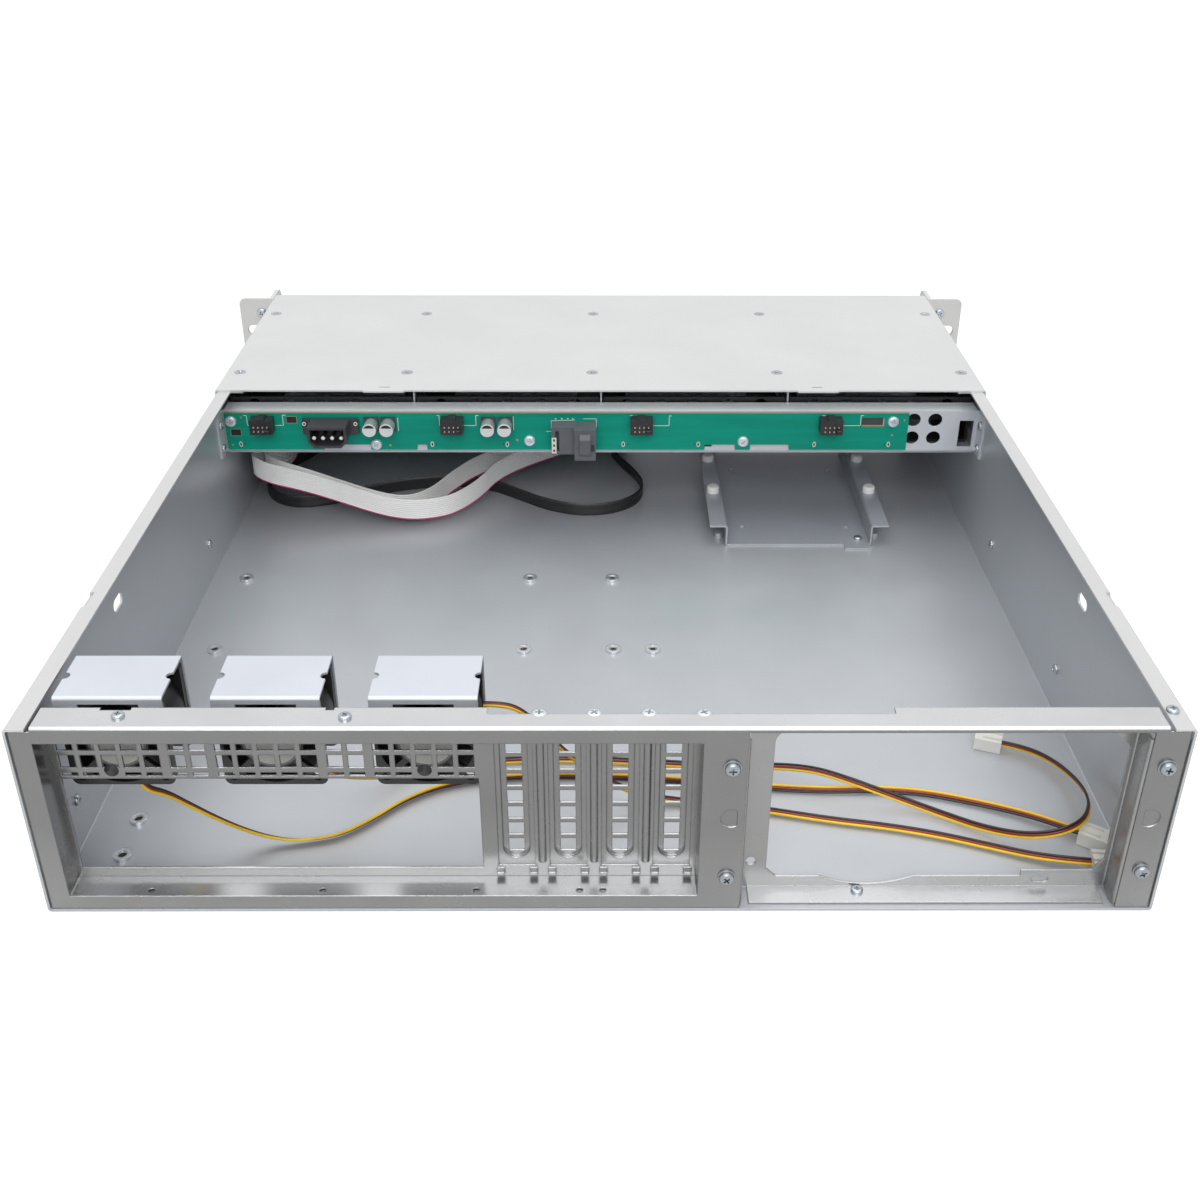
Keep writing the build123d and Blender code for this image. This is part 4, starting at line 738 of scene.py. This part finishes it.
class SERVERCASE_OT_screws(bpy.types.Operator):
    """Set the screws of the case in their places"""

    bl_idname = "servercase.screws"
    bl_label = "Screws"

    def execute(self, context):
        look = context.scene.servercase_finish
        size = context.scene.servercase_fixings
        zinc = [steel("bright zinc", look.screw, 0.85, 0.24, edge=FINE)]
        # Darker and lighter copies of the same zinc: painted shade on the rear post screws, painted light
        # on the slot and board screws
        shaded_zinc = [steel("zinc in painted shade", shade(look.screw, 0.72), 0.85, 0.3, edge=FINE)]
        pale = [steel("zinc in painted light", shade(look.screw, 1.6), 0.4, 0.3, edge=FINE)]
        large = pan_screw("large_head", size.large, size.rise * 1.3, 1.12)
        tall = pan_screw("tall_head", size.medium * 1.08, size.rise * 1.65)
        medium = pan_screw("medium_head", size.medium, size.rise)
        small = pan_screw("small_head", size.small, size.rise * 0.75)
        flat = flat_screw("flat_head", size.flat, size.flat_rise)
        posts = [at(x, 0.5, z) for x, z in ((48.6, 70.2), (48.6, 17.3), (209.3, 70.4), (209.3, 20.3))]
        rail = [at(-177.2, 8.2, 88), at(-93.9, 7.5, 88), at(211.7, 11.4, 88)]
        slots = [at(-22.8 + 20.32 * index, 10.6, 85) for index in range(4)]
        floor = [at(102, 9, 2), at(150.5, 304, 2)]
        walls = [at(-216, y, 21.5) for y in (42, 138, 261)] + [at(-215, 310, z) for z in (57, 71)]
        boards = ((-210.4, 71.0), (-128.7, 56.8), (-40.9, 59.2), (81.4, 58.7), (166.4, 71.0))
        boards = [at(x, BOARD_FACE * 1000, z) for x, z in boards]
        corners = [(x, z) for x in (-16, 16) for z in (-16, 16)]
        fans = [at(middle + x, 50.5, FAN_HEIGHT + z) for middle in FAN_MIDDLES for x, z in corners]
        covers = [at(x, y, 88.04) for x in (-209.7, -112.7, -5.2, 102.3, 209.7) for y in (346.3, 448.2)]
        handles = [at(x, 480, z) for x in (-227, 227) for z in (9.5, 78.5)]
        ears = [at(219, 452, z) for z in (20, 61)]
        plan = (
            ("post_screws", large, posts, BACK, shaded_zinc),
            ("rail_screws", small, rail, UP, zinc),
            ("slot_screws", tall, slots, UP, pale),
            ("floor_screws", small, floor, UP, zinc),
            ("left_wall_screws", small, walls, RIGHT, zinc),
            ("right_wall_screws", small, self.mirrored(walls), LEFT, zinc),
            ("board_screws", medium, boards, BACK, pale),
            ("fan_screws", medium, fans, FRONT, zinc),
            ("cover_screws", flat, covers, UP, zinc),
            ("handle_screws", medium, handles, BACK, zinc),
            ("right_ear_screws", small, ears, RIGHT, zinc),
            ("left_ear_screws", small, self.mirrored(ears), LEFT, zinc),
        )
        for name, head, places, facing, coat in plan:
            head.data.materials.clear()
            set_copies(head, name, places, facing, coat, "galvanised")
        for head in (large, tall, medium, small, flat):
            bpy.data.objects.remove(head)
        return {"FINISHED"}

    def mirrored(self, places):
        return [Vector((-place.x, place.y, place.z)) for place in places]


class SERVERCASE_OT_nut_threads(bpy.types.Operator):
    """Cut threads into the nuts in the floor"""

    bl_idname = "servercase.nut_threads"
    bl_label = "Nut threads"

    def execute(self, context):
        look = context.scene.servercase_finish
        thread = disc("thread", 0.00219, 0.00145)
        pick_top(thread)
        pitch = 0.00018
        bpy.ops.mesh.inset(thickness=pitch, depth=0.0)
        for width in (0.88, 1.13) * 3:
            bpy.ops.mesh.extrude_region_move(TRANSFORM_OT_translate={"value": (0, 0, -pitch)})
            bpy.ops.transform.resize(value=(width, width, 1.0))
        leave_edit()
        for face in thread.data.polygons:
            face.material_index = int(face.select)
        columns, rows = (-197, -39.52, 6.2, 26.52), (30.66, 53.52, 185.6, 257.99)
        nuts = [(x, rows[3]) for x in columns[:3]] + [(x, rows[2]) for x in columns]
        nuts += [(columns[0], rows[1])] + [(x, rows[0]) for x in columns[:3]]
        # Painted shade in the bores: the thread walls take a darker copy of the nut metal and the bottom
        # takes the near-black thread shadow
        skins = [
            steel("thread metal", shade(look.standoff, 0.75), 0.5, 0.35, edge=FINE),
            plastic("thread shadow", (0.03, 0.03, 0.032), 0.6),
        ]
        stamp(thread, "nut_threads", [at(x, y, 1.02) for x, y in nuts], UP, skins, "standoff")
        return {"FINISHED"}


class SERVERCASE_OT_board_marks(bpy.types.Operator):
    """Print the marks and test points on the backplane board"""

    bl_idname = "servercase.board_marks"
    bl_label = "Board marks"

    header_marks = (
        ((-202.7, 74.5), (-201.2, 74.5), (-201.2, 68.4), (-199.0, 68.4)),
        ((-185.5, 68.4), (-180.8, 68.4), (-180.8, 74.7), (-179.2, 74.7)),
        ((-93.2, 74.6), (-92.0, 74.6), (-92.0, 68.4), (-91.0, 68.4)),
        ((-78.0, 68.4), (-71.2, 68.4), (-71.2, 74.6), (-69.7, 74.6)),
        ((16.6, 74.6), (17.8, 74.6), (17.8, 68.4), (16.8, 68.4)),
        ((29.5, 68.4), (38.8, 68.4), (38.8, 74.4), (40.0, 74.4)),
        ((126.0, 74.7), (127.2, 74.7), (127.2, 68.5), (124.4, 68.5)),
        ((137.0, 68.5), (147.9, 68.5), (147.9, 74.7), (149.2, 74.7)),
    )
    part_marks = (
        ((-31.1, 64.8), (-28.6, 64.8)),
        ((-28.3, 66.5), (-28.3, 71.4), (-15.0, 71.8)),
        ((-10.1, 72.6), (-2.7, 72.6), (-2.7, 67.6)),
        ((-115.6, 73.0), (-115.6, 65.3)),
        ((-49.9, 73.8), (-49.9, 65.8)),
    )
    hole_row = 56.75
    ovals = (-206.4, -163.5, -96.8, -53.8, 12.7, 55.8, 122.4, 165.1)
    dots = (-204.0, -165.6, -94.2, -56.0, 15.3, 53.7, 124.8, 162.9)
    points = ((-204.3, 73.3), (-211.2, 56.4), (-120.9, 56.1), (-48.0, 59.4), (172.8, 71.9), (166.7, 62.6))
    pads = ((-25.8, 72.6), (-22.3, 72.6), (-18.9, 72.6), (-16.0, 72.6))
    slots = ((-175.9, 71.9), (-208.3, 64.1))
    window = (154.8, 70.9)

    def execute(self, context):
        look = context.scene.servercase_finish
        ink = plastic("board ink", look.ink, 0.5, spread=0.04)
        # Painted shade: the holes, the sunken middles of the ovals and the slots' floors are near-black,
        # where the board shows dark hollows
        dark = plastic("board holes", (0.012, 0.011, 0.010), 0.6)
        gold = steel("test points", look.gold, 0.8, 0.3, edge=FINE)
        strips = []
        for line in self.header_marks + self.part_marks:
            for first, second in zip(line, line[1:]):
                strips.append(self.stroke(self.on_face(*first), self.on_face(*second)))
        only(*strips)
        bpy.ops.object.join()
        marks = bpy.context.object
        marks.name = "board_strokes"
        settle(marks, [ink])
        ring = disc("oval", 0.00098, 0.00009)
        pick(ring, "FACE", lambda middle, normal: True)
        bpy.ops.transform.resize(value=(1.0, 1.7, 1.0))
        leave_edit()
        sink_top(ring, 0.00048, 0.00004, 1)
        places = [self.on_face(x, self.hole_row) for x in self.ovals]
        stamp(ring, "board_ovals", places, BACK, [ink, dark], "board", 0.0)
        dot = disc("dot", 0.00042, 0.00008, 12)
        round_top(dot, 0.00003, 1)
        places = [self.on_face(x, self.hole_row) for x in self.dots]
        stamp(dot, "board_holes", places, BACK, [dark], "board")
        point = disc("point", 0.00062, 0.00009, 16)
        sink_top(point, 0.00035, 0.00005)
        stamp(point, "board_points", [self.on_face(*spot) for spot in self.points], BACK, [gold], "board")
        pad = disc("pad", 0.00045, 0.00009, 12)
        round_top(pad, 0.00003, 1)
        stamp(pad, "board_pads", [self.on_face(*spot) for spot in self.pads], BACK, [ink], "board")
        rim = plastic("slot rim", look.board_edge, 0.6)
        slot = block("slot", 0.0061, 0.0043, 0.00012)
        sink_top(slot, 0.00028, 0.00006, 1)
        places = [self.on_face(*spot) for spot in self.slots]
        stamp(slot, "board_slots", places, BACK, [rim, dark], "board", 0.0)
        shadow = plastic("window shadow", (0.06, 0.065, 0.06), 0.6)
        window = block("window", 0.0123, 0.0053, 0.0002)
        round_top(window, 0.00005, 1)
        stamp(window, "board_window", [self.on_face(*self.window, 1.5)], BACK, [shadow], "board", 0.0)
        return {"FINISHED"}

    def on_face(self, x, z, depth=0.0):
        """A place on the board's face, or as deep behind it."""
        return at(x, BOARD_FACE * 1000 + depth, z)

    def stroke(self, start, end):
        """One printed line between two places on the board's face."""
        width = 0.00035
        line = block("stroke", (end - start).length + width, width, 0.00006)
        round_top(line, 0.00002, 1)
        turn = Matrix.Rotation(math.atan2(end.z - start.z, end.x - start.x), 4, "Z")
        line.matrix_world = Matrix.Translation((start + end) / 2) @ aimed(BACK) @ turn
        return line


class SERVERCASE_OT_contacts(bpy.types.Operator):
    """Fit the pins, can tops and contacts of the board's connectors"""

    bl_idname = "servercase.contacts"
    bl_label = "Contacts"

    headers = (-192.0, -84.5, 23.0, 130.5)
    header_face = 308.4
    cans = (-130.6, -121.0, -64.2, -54.6)
    can_face = 306.4
    can_height = 69.6

    def execute(self, context):
        look = context.scene.servercase_finish
        # The pin tips and rivets are white and not metallic: the bright colour of tinned metal with a
        # painted glint
        tin_and_glint = [steel("tinned pins with painted glint", (0.95, 0.94, 0.91), 0.0, 0.4, edge=FINE)]
        black = [plastic("black parts", look.connector, 0.4, 1500.0)]
        self.header_parts(black)
        self.power_parts(tin_and_glint, black)
        self.can_parts(black)
        self.data_parts(look, black)
        return {"FINISHED"}

    def header_parts(self, black):
        """Seven bare pins and a jumper on each header."""
        brass = [steel("header pins", (0.50, 0.45, 0.36), 0.4, 0.3, edge=FINE)]
        pin = block("pin", 0.00068, 0.00068, 0.0013)
        round_top(pin, 0.0002, 1)
        spots = [(x, z) for x in (-3.81, -1.27, 1.27) for z in (68.2, 70.74)] + [(3.81, 70.74)]
        places = [at(middle + x, self.header_face, z) for middle in self.headers for x, z in spots]
        stamp(pin, "header_pins", places, BACK, brass, "capacitor", 0.0)
        jumper = block("jumper", 0.0025, 0.0027, 0.0028)
        round_top(jumper, 0.0003, 2)
        sink_top(jumper, 0.0006, 0.0004)
        places = [at(middle + 3.81, self.header_face, 68.3) for middle in self.headers]
        stamp(jumper, "jumpers", places, BACK, black, "connector", 0.0)

    def power_parts(self, tin_and_glint, black):
        """Four posts with bright tips and two rivets on the power socket."""
        length, bright = 0.0108, 0.0009
        post = disc("post", 0.00118, length, 18)
        round_top(post, bright, 3)
        for side in post.data.polygons:
            side.material_index = int(side.center.z < length - bright)
        places = [at(-153.6 + 5.08 * (index - 1.5), 313.1, 66.5) for index in range(4)]
        stamp(post, "power_pins", places, BACK, tin_and_glint + black, "capacitor")
        rivet = disc("rivet", 0.0011, 0.0004, 18)
        sink_top(rivet, 0.0004, 0.0003, 1)
        places = [at(x, 313.2, 70.8) for x in (-168.2, -139.2)]
        stamp(rivet, "socket_rivets", places, BACK, tin_and_glint + black, "capacitor")

    def can_parts(self, black):
        """White faces with a dark crescent on the cans."""
        white = plastic("can face", (0.80, 0.80, 0.80), 0.4, 1500.0, spread=0.03)
        top = disc("top", 0.00385, 0.0003, 32)
        round_top(top, 0.00015, 2)
        sink_top(top, 0.00035, 0.0001)
        places = [at(x, self.can_face, self.can_height) for x in self.cans]
        stamp(top, "can_tops", places, BACK, [white], "capacitor", 0.0)
        stripe = disc("stripe", 0.0033, 0.00008, 32)
        pick(stripe, "FACE", lambda middle, normal: True)
        bpy.ops.mesh.bisect(plane_co=(0, 0.0014, 0), plane_no=(0, 1, 0), use_fill=True, clear_inner=True)
        leave_edit()
        places = [at(x, self.can_face - 0.22, self.can_height) for x in self.cans]
        stamp(stripe, "can_stripes", places, BACK, black, "connector", 0.0)

    def data_parts(self, look, black):
        """A contact strip with three holes beside the data socket, and its plug's latch."""
        ivory = [plastic("ivory contacts", look.plug, 0.45, 1500.0, spread=0.04)]
        strip = block("strip", 0.0027, 0.0097, 0.0004)
        round_top(strip, 0.0001, 1)
        stamp(strip, "data_contacts", [at(-26.6, 307.4, 60.0)], BACK, ivory, "plug", 0.0)
        hole = block("hole", 0.0011, 0.0013, 0.0001)
        round_top(hole, 0.00004, 1)
        places = [at(-26.6, 307.0, z) for z in (57.0, 60.2, 63.4)]
        stamp(hole, "data_contact_holes", places, BACK, black, "connector", 0.0)
        latch = block("latch", 0.0018, 0.0040, 0.0002)
        sink_top(latch, 0.0003, 0.0001)
        stamp(latch, "data_plug_window", [at(-4.7, 303.4, 60.2)], BACK, black, "connector", 0.0)


class SERVERCASE_OT_fan_labels(bpy.types.Operator):
    """Stick a bare label on each fan's hub"""

    bl_idname = "servercase.fan_labels"
    bl_label = "Fan labels"

    def execute(self, context):
        look = context.scene.servercase_finish
        paper = plastic("fan label", look.label, 0.45, spread=0.05)
        ring = plastic("fan label ring", shade(look.label, 0.35), 0.5)
        label = disc("label", 0.0112, 0.00015, 40)
        round_top(label, 0.00005, 1)
        sink_top(label, 0.0009, 0.00003, 1)
        places = [at(x, 21.5, FAN_HEIGHT) for x in FAN_MIDDLES]
        stamp(label, "fan_labels", places, BACK, [ring, paper], "fan")
        return {"FINISHED"}


class SERVERCASE_OT_fan_wires(bpy.types.Operator):
    """Lay three thin wires side by side along each fan cable's route"""

    bl_idname = "servercase.fan_wires"
    bl_label = "Fan wires"

    def execute(self, context):
        size = context.scene.servercase_cables
        colours = {"yellow": size.yellow, "red": size.red, "black": size.black}
        skins = {name: plastic(f"{name} wire", colour, 0.36) for name, colour in colours.items()}
        pitch = size.wire * 1.02
        for number, (points, length) in enumerate(FAN_CABLES, 1):
            line = route_curve(f"fan_wires_{number}_line", points)
            path = line_points(line)
            bpy.data.objects.remove(line)
            strands = []
            for index, name in enumerate(colours):
                beside = self.beside(path, (1 - index) * pitch, size.twist[number - 1])
                strands.append(thin_tube(f"fan_wires_{number}_{name}", beside, size.wire, skins[name]))
            bundle = merged(f"fan_wires_{number}", strands)
            lay(
                bundle, f"fan_cable_{number}", "wire", exit=points[0], length=length,
                diameter=FAN_CABLE_DIAMETER, far_end="connector", path=path,
                with_pieces=[NODES[f"fan_plug_{number}"]],
            )
        return {"FINISHED"}

    def beside(self, path, step, twist):
        """The line of one wire, which lies beside the middle one and rolls over slowly."""
        points = []
        across = Vector((0, -1, 0))
        for place, point in enumerate(path):
            before = path[max(place - 1, 0)]
            after = path[min(place + 1, len(path) - 1)]
            heading = (after - before).normalized()
            across = (across - heading * across.dot(heading)).normalized()
            turn = 2 * math.pi * twist * place / len(path)
            offset = across * math.cos(turn) + heading.cross(across) * math.sin(turn)
            points.append(point + offset * step)
        return points


def ribbed_profile(name, width, thickness, ribs):
    """A flat cable's section: a row of round ribs."""
    points = []
    for side in (1, -1):
        for index in range(ribs):
            middle = side * (-width / 2 + width * (index + 0.5) / ribs)
            for step in (-0.5, -0.3, 0.0, 0.3):
                bulge = 0.5 * math.sqrt(max(0.1, 1 - (2 * step) ** 2))
                points.append((side * bulge * thickness, middle + side * step * width / ribs, 0.0))
    profile = new_curve(name, "POLY", points, "2D")
    profile.data.splines[0].use_cyclic_u = True
    return profile


def swept(name, points, profile, material):
    """Sweeps a section along a route; returns the piece and the line it follows."""
    line = route_curve(name, points)
    path = line_points(line)
    line.data.bevel_mode = "OBJECT"
    line.data.bevel_object = profile
    line.data.use_fill_caps = True
    line.data.materials.append(material)
    only(line)
    bpy.ops.object.convert(target="MESH")
    piece = bpy.context.object
    only(piece)
    bpy.ops.object.mode_set(mode="EDIT")
    bpy.ops.mesh.select_all(action="SELECT")
    bpy.ops.mesh.normals_make_consistent(inside=False)
    leave_edit()
    return piece, path


class SERVERCASE_OT_flat_cables(bpy.types.Operator):
    """Lay the two ribbons and the flat data cable on edge"""

    bl_idname = "servercase.flat_cables"
    bl_label = "Flat cables"

    def execute(self, context):
        size = context.scene.servercase_cables
        ribbon = plastic("ribbon", size.ribbon, 0.42, spread=0.04)
        # Painted shade: the grooves between conductors and the narrow edges take a darker copy of the
        # insulation
        groove_shade = plastic("ribbon groove", shade(size.ribbon, 0.85), 0.5, spread=0.04)
        marked = plastic("ribbon edge", size.ribbon_edge, 0.42)
        section = ribbed_profile(
            "ribbon_section", size.ribbon_width, size.ribbon_thickness, RIBBON_CONDUCTORS
        )
        down = Vector((0, 0, -size.ribbon_width / 2))
        for number, (points, length) in enumerate(RIBBON_CABLES, 1):
            band, path = swept(f"ribbon_{number}", points, section, ribbon)
            band.data.materials.append(groove_shade)
            # Faces that slope steeply up or down, in the grooves and on the narrow edges, take the painted
            # shade
            for face in band.data.polygons:
                face.material_index = int(abs(face.normal.z) > 0.5)
            rim = [point + down for point in path]
            edge = thin_tube(f"ribbon_{number}_edge", rim, size.ribbon_edge_width, marked)
            piece = merged(f"ribbon_{number}", [band, edge])
            lay(
                piece, f"ribbon_cable_{number}", "ribbon", exit=points[0], length=length,
                diameter=size.ribbon_width, far_end="object", path=path,
            )
        bpy.data.objects.remove(section)
        sleeve = plastic("data sleeve", size.data, 0.42, 1200.0, 0.00002)
        section = ribbed_profile("data_section", size.data_width, size.data_thickness, 2)
        piece, path = swept("data_sleeve", DATA_CABLE_ROUTE, section, sleeve)
        bpy.data.objects.remove(section)
        bpy.ops.object.shade_smooth_by_angle(angle=math.radians(50))
        lay(
            piece, "data_cable", "data_cable", exit=DATA_CABLE_ROUTE[0], length=DATA_CABLE_LENGTH,
            diameter=size.data_width, far_end="object", path=path,
        )
        return {"FINISHED"}


class SERVERCASE_OT_stage(bpy.types.Operator):
    """Set up the floor, the soft studio light and the camera"""

    bl_idname = "servercase.stage"
    bl_label = "Stage"

    def execute(self, context):
        stage = context.scene.servercase_stage
        deselect()
        bpy.ops.mesh.primitive_plane_add(size=stage.floor_size)
        floor = context.object
        floor.name = "studio_floor"
        floor.data.materials.append(self.floor_paint(stage))
        tilt = Vector((0, -math.sin(stage.key_tilt), -math.cos(stage.key_tilt)))
        bpy.ops.object.light_add(
            type="SUN", location=(0, 0.8, 2.0), rotation=tilt.to_track_quat("-Z", "Y").to_euler()
        )
        key = context.object
        key.name = "overhead"
        key.data.energy = stage.key_strength
        key.data.angle = stage.key_angle
        place = Vector((0, -2.2, 1.6))
        bpy.ops.object.light_add(
            type="AREA", location=place, rotation=(-place).to_track_quat("-Z", "Y").to_euler()
        )
        wide = context.object
        wide.name = "camera_side"
        wide.data.shape = "RECTANGLE"
        wide.data.size, wide.data.size_y = 2.0, 1.2
        wide.data.energy = stage.front_power
        self.world(stage)
        turn = Matrix.Rotation(stage.camera_yaw, 4, "Z")
        turn @= Matrix.Rotation(math.pi / 2 - stage.camera_pitch, 4, "X")
        turn @= Matrix.Rotation(stage.camera_roll, 4, "Z")
        bpy.ops.object.camera_add(location=stage.camera_place, rotation=turn.to_euler())
        camera = context.object
        camera.name = "photo_camera"
        camera.data.sensor_width = 36.0
        camera.data.lens = stage.camera_lens
        camera.data.shift_x, camera.data.shift_y = stage.camera_shift
        camera.data.clip_start = 0.01
        context.scene.camera = camera
        context.scene.view_settings.view_transform = "Standard"
        return {"FINISHED"}

    def seen(self, tree):
        """1 for rays that show the background: straight to the camera, mirrored or through glass."""
        path = tree.nodes.new("ShaderNodeLightPath")
        shown = path.outputs["Is Camera Ray"]
        for ray in ("Is Glossy Ray", "Is Transmission Ray"):
            either = tree.nodes.new("ShaderNodeMath")
            either.operation = "MAXIMUM"
            tree.links.new(shown, either.inputs[0])
            tree.links.new(path.outputs[ray], either.inputs[1])
            shown = either.outputs[0]
        return shown

    def floor_paint(self, stage):
        """Matte white that keeps shadows, and throws only a little light back at the case."""
        pale = Recipe("studio floor")
        patches = pale.noise(3.0, 2.0)
        stops = [(0.3, shade(stage.floor, 0.995)), (0.7, shade(stage.floor, 1.0))]
        tint = pale.ramp(patches, "Fac", stops)
        mix = pale.add("ShaderNodeMix", data_type="RGBA")
        pale.tree.links.new(self.seen(pale.tree), mix.inputs[0])
        mix.inputs[6].default_value = shade(stage.bounce, 1.0)
        pale.tree.links.new(tint.outputs["Color"], mix.inputs[7])
        pale.paint(mix.outputs[2])
        lift = pale.add("ShaderNodeMath", {1: stage.glow}, operation="MULTIPLY")
        pale.tree.links.new(self.seen(pale.tree), lift.inputs[0])
        pale.link(lift, "Value", pale.shader, "Emission Strength")
        pale.set(Roughness=1.0, Emission_Color=(1.0, 1.0, 1.0, 1.0), Specular_IOR_Level=0.0)
        return pale.material

    def world(self, stage):
        """White to the camera and in reflections, softer as light."""
        world = bpy.data.worlds.new("studio")
        bpy.context.scene.world = world
        world.use_nodes = True
        tree = world.node_tree
        tree.nodes.clear()
        output = tree.nodes.new("ShaderNodeOutputWorld")
        mix = tree.nodes.new("ShaderNodeMixShader")
        soft, white = (tree.nodes.new("ShaderNodeBackground") for _ in range(2))
        soft.inputs["Color"].default_value = (0.96, 0.98, 1.0, 1.0)
        soft.inputs["Strength"].default_value = stage.fill
        white.inputs["Color"].default_value = (1.0, 1.0, 1.0, 1.0)
        white.inputs["Strength"].default_value = 1.0
        tree.links.new(self.seen(tree), mix.inputs["Fac"])
        tree.links.new(soft.outputs["Background"], mix.inputs[1])
        tree.links.new(white.outputs["Background"], mix.inputs[2])
        tree.links.new(mix.outputs["Shader"], output.inputs["Surface"])


class SERVERCASE_PT_sidebar(bpy.types.Panel):
    """Lists the steps that dress the case"""

    bl_label = "Server Case"
    bl_idname = "SERVERCASE_PT_sidebar"
    bl_space_type = "VIEW_3D"
    bl_region_type = "UI"
    bl_category = "Server Case"

    def draw(self, context):
        for step in STEPS:
            self.layout.operator(step.bl_idname)


GROUPS = {
    "servercase_finish": ServerCaseFinish,
    "servercase_fixings": ServerCaseFixings,
    "servercase_cables": ServerCaseCables,
    "servercase_stage": ServerCaseStage,
}
STEPS = (
    SERVERCASE_OT_finishes,
    SERVERCASE_OT_screws,
    SERVERCASE_OT_nut_threads,
    SERVERCASE_OT_board_marks,
    SERVERCASE_OT_contacts,
    SERVERCASE_OT_fan_labels,
    SERVERCASE_OT_fan_wires,
    SERVERCASE_OT_flat_cables,
    SERVERCASE_OT_stage,
)
CLASSES = (*GROUPS.values(), *STEPS, SERVERCASE_PT_sidebar)


def register():
    for entry in CLASSES:
        bpy.utils.register_class(entry)
    for name, group in GROUPS.items():
        setattr(bpy.types.Scene, name, bpy.props.PointerProperty(type=group))


def unregister():
    for name in GROUPS:
        delattr(bpy.types.Scene, name)
    for entry in reversed(CLASSES):
        bpy.utils.unregister_class(entry)


def main():
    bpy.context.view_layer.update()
    register()
    bpy.ops.servercase.finishes()
    bpy.ops.servercase.screws()
    bpy.ops.servercase.nut_threads()
    bpy.ops.servercase.board_marks()
    bpy.ops.servercase.contacts()
    bpy.ops.servercase.fan_labels()
    bpy.ops.servercase.fan_wires()
    bpy.ops.servercase.flat_cables()
    bpy.ops.servercase.stage()


if __name__ == "__main__":
    main()
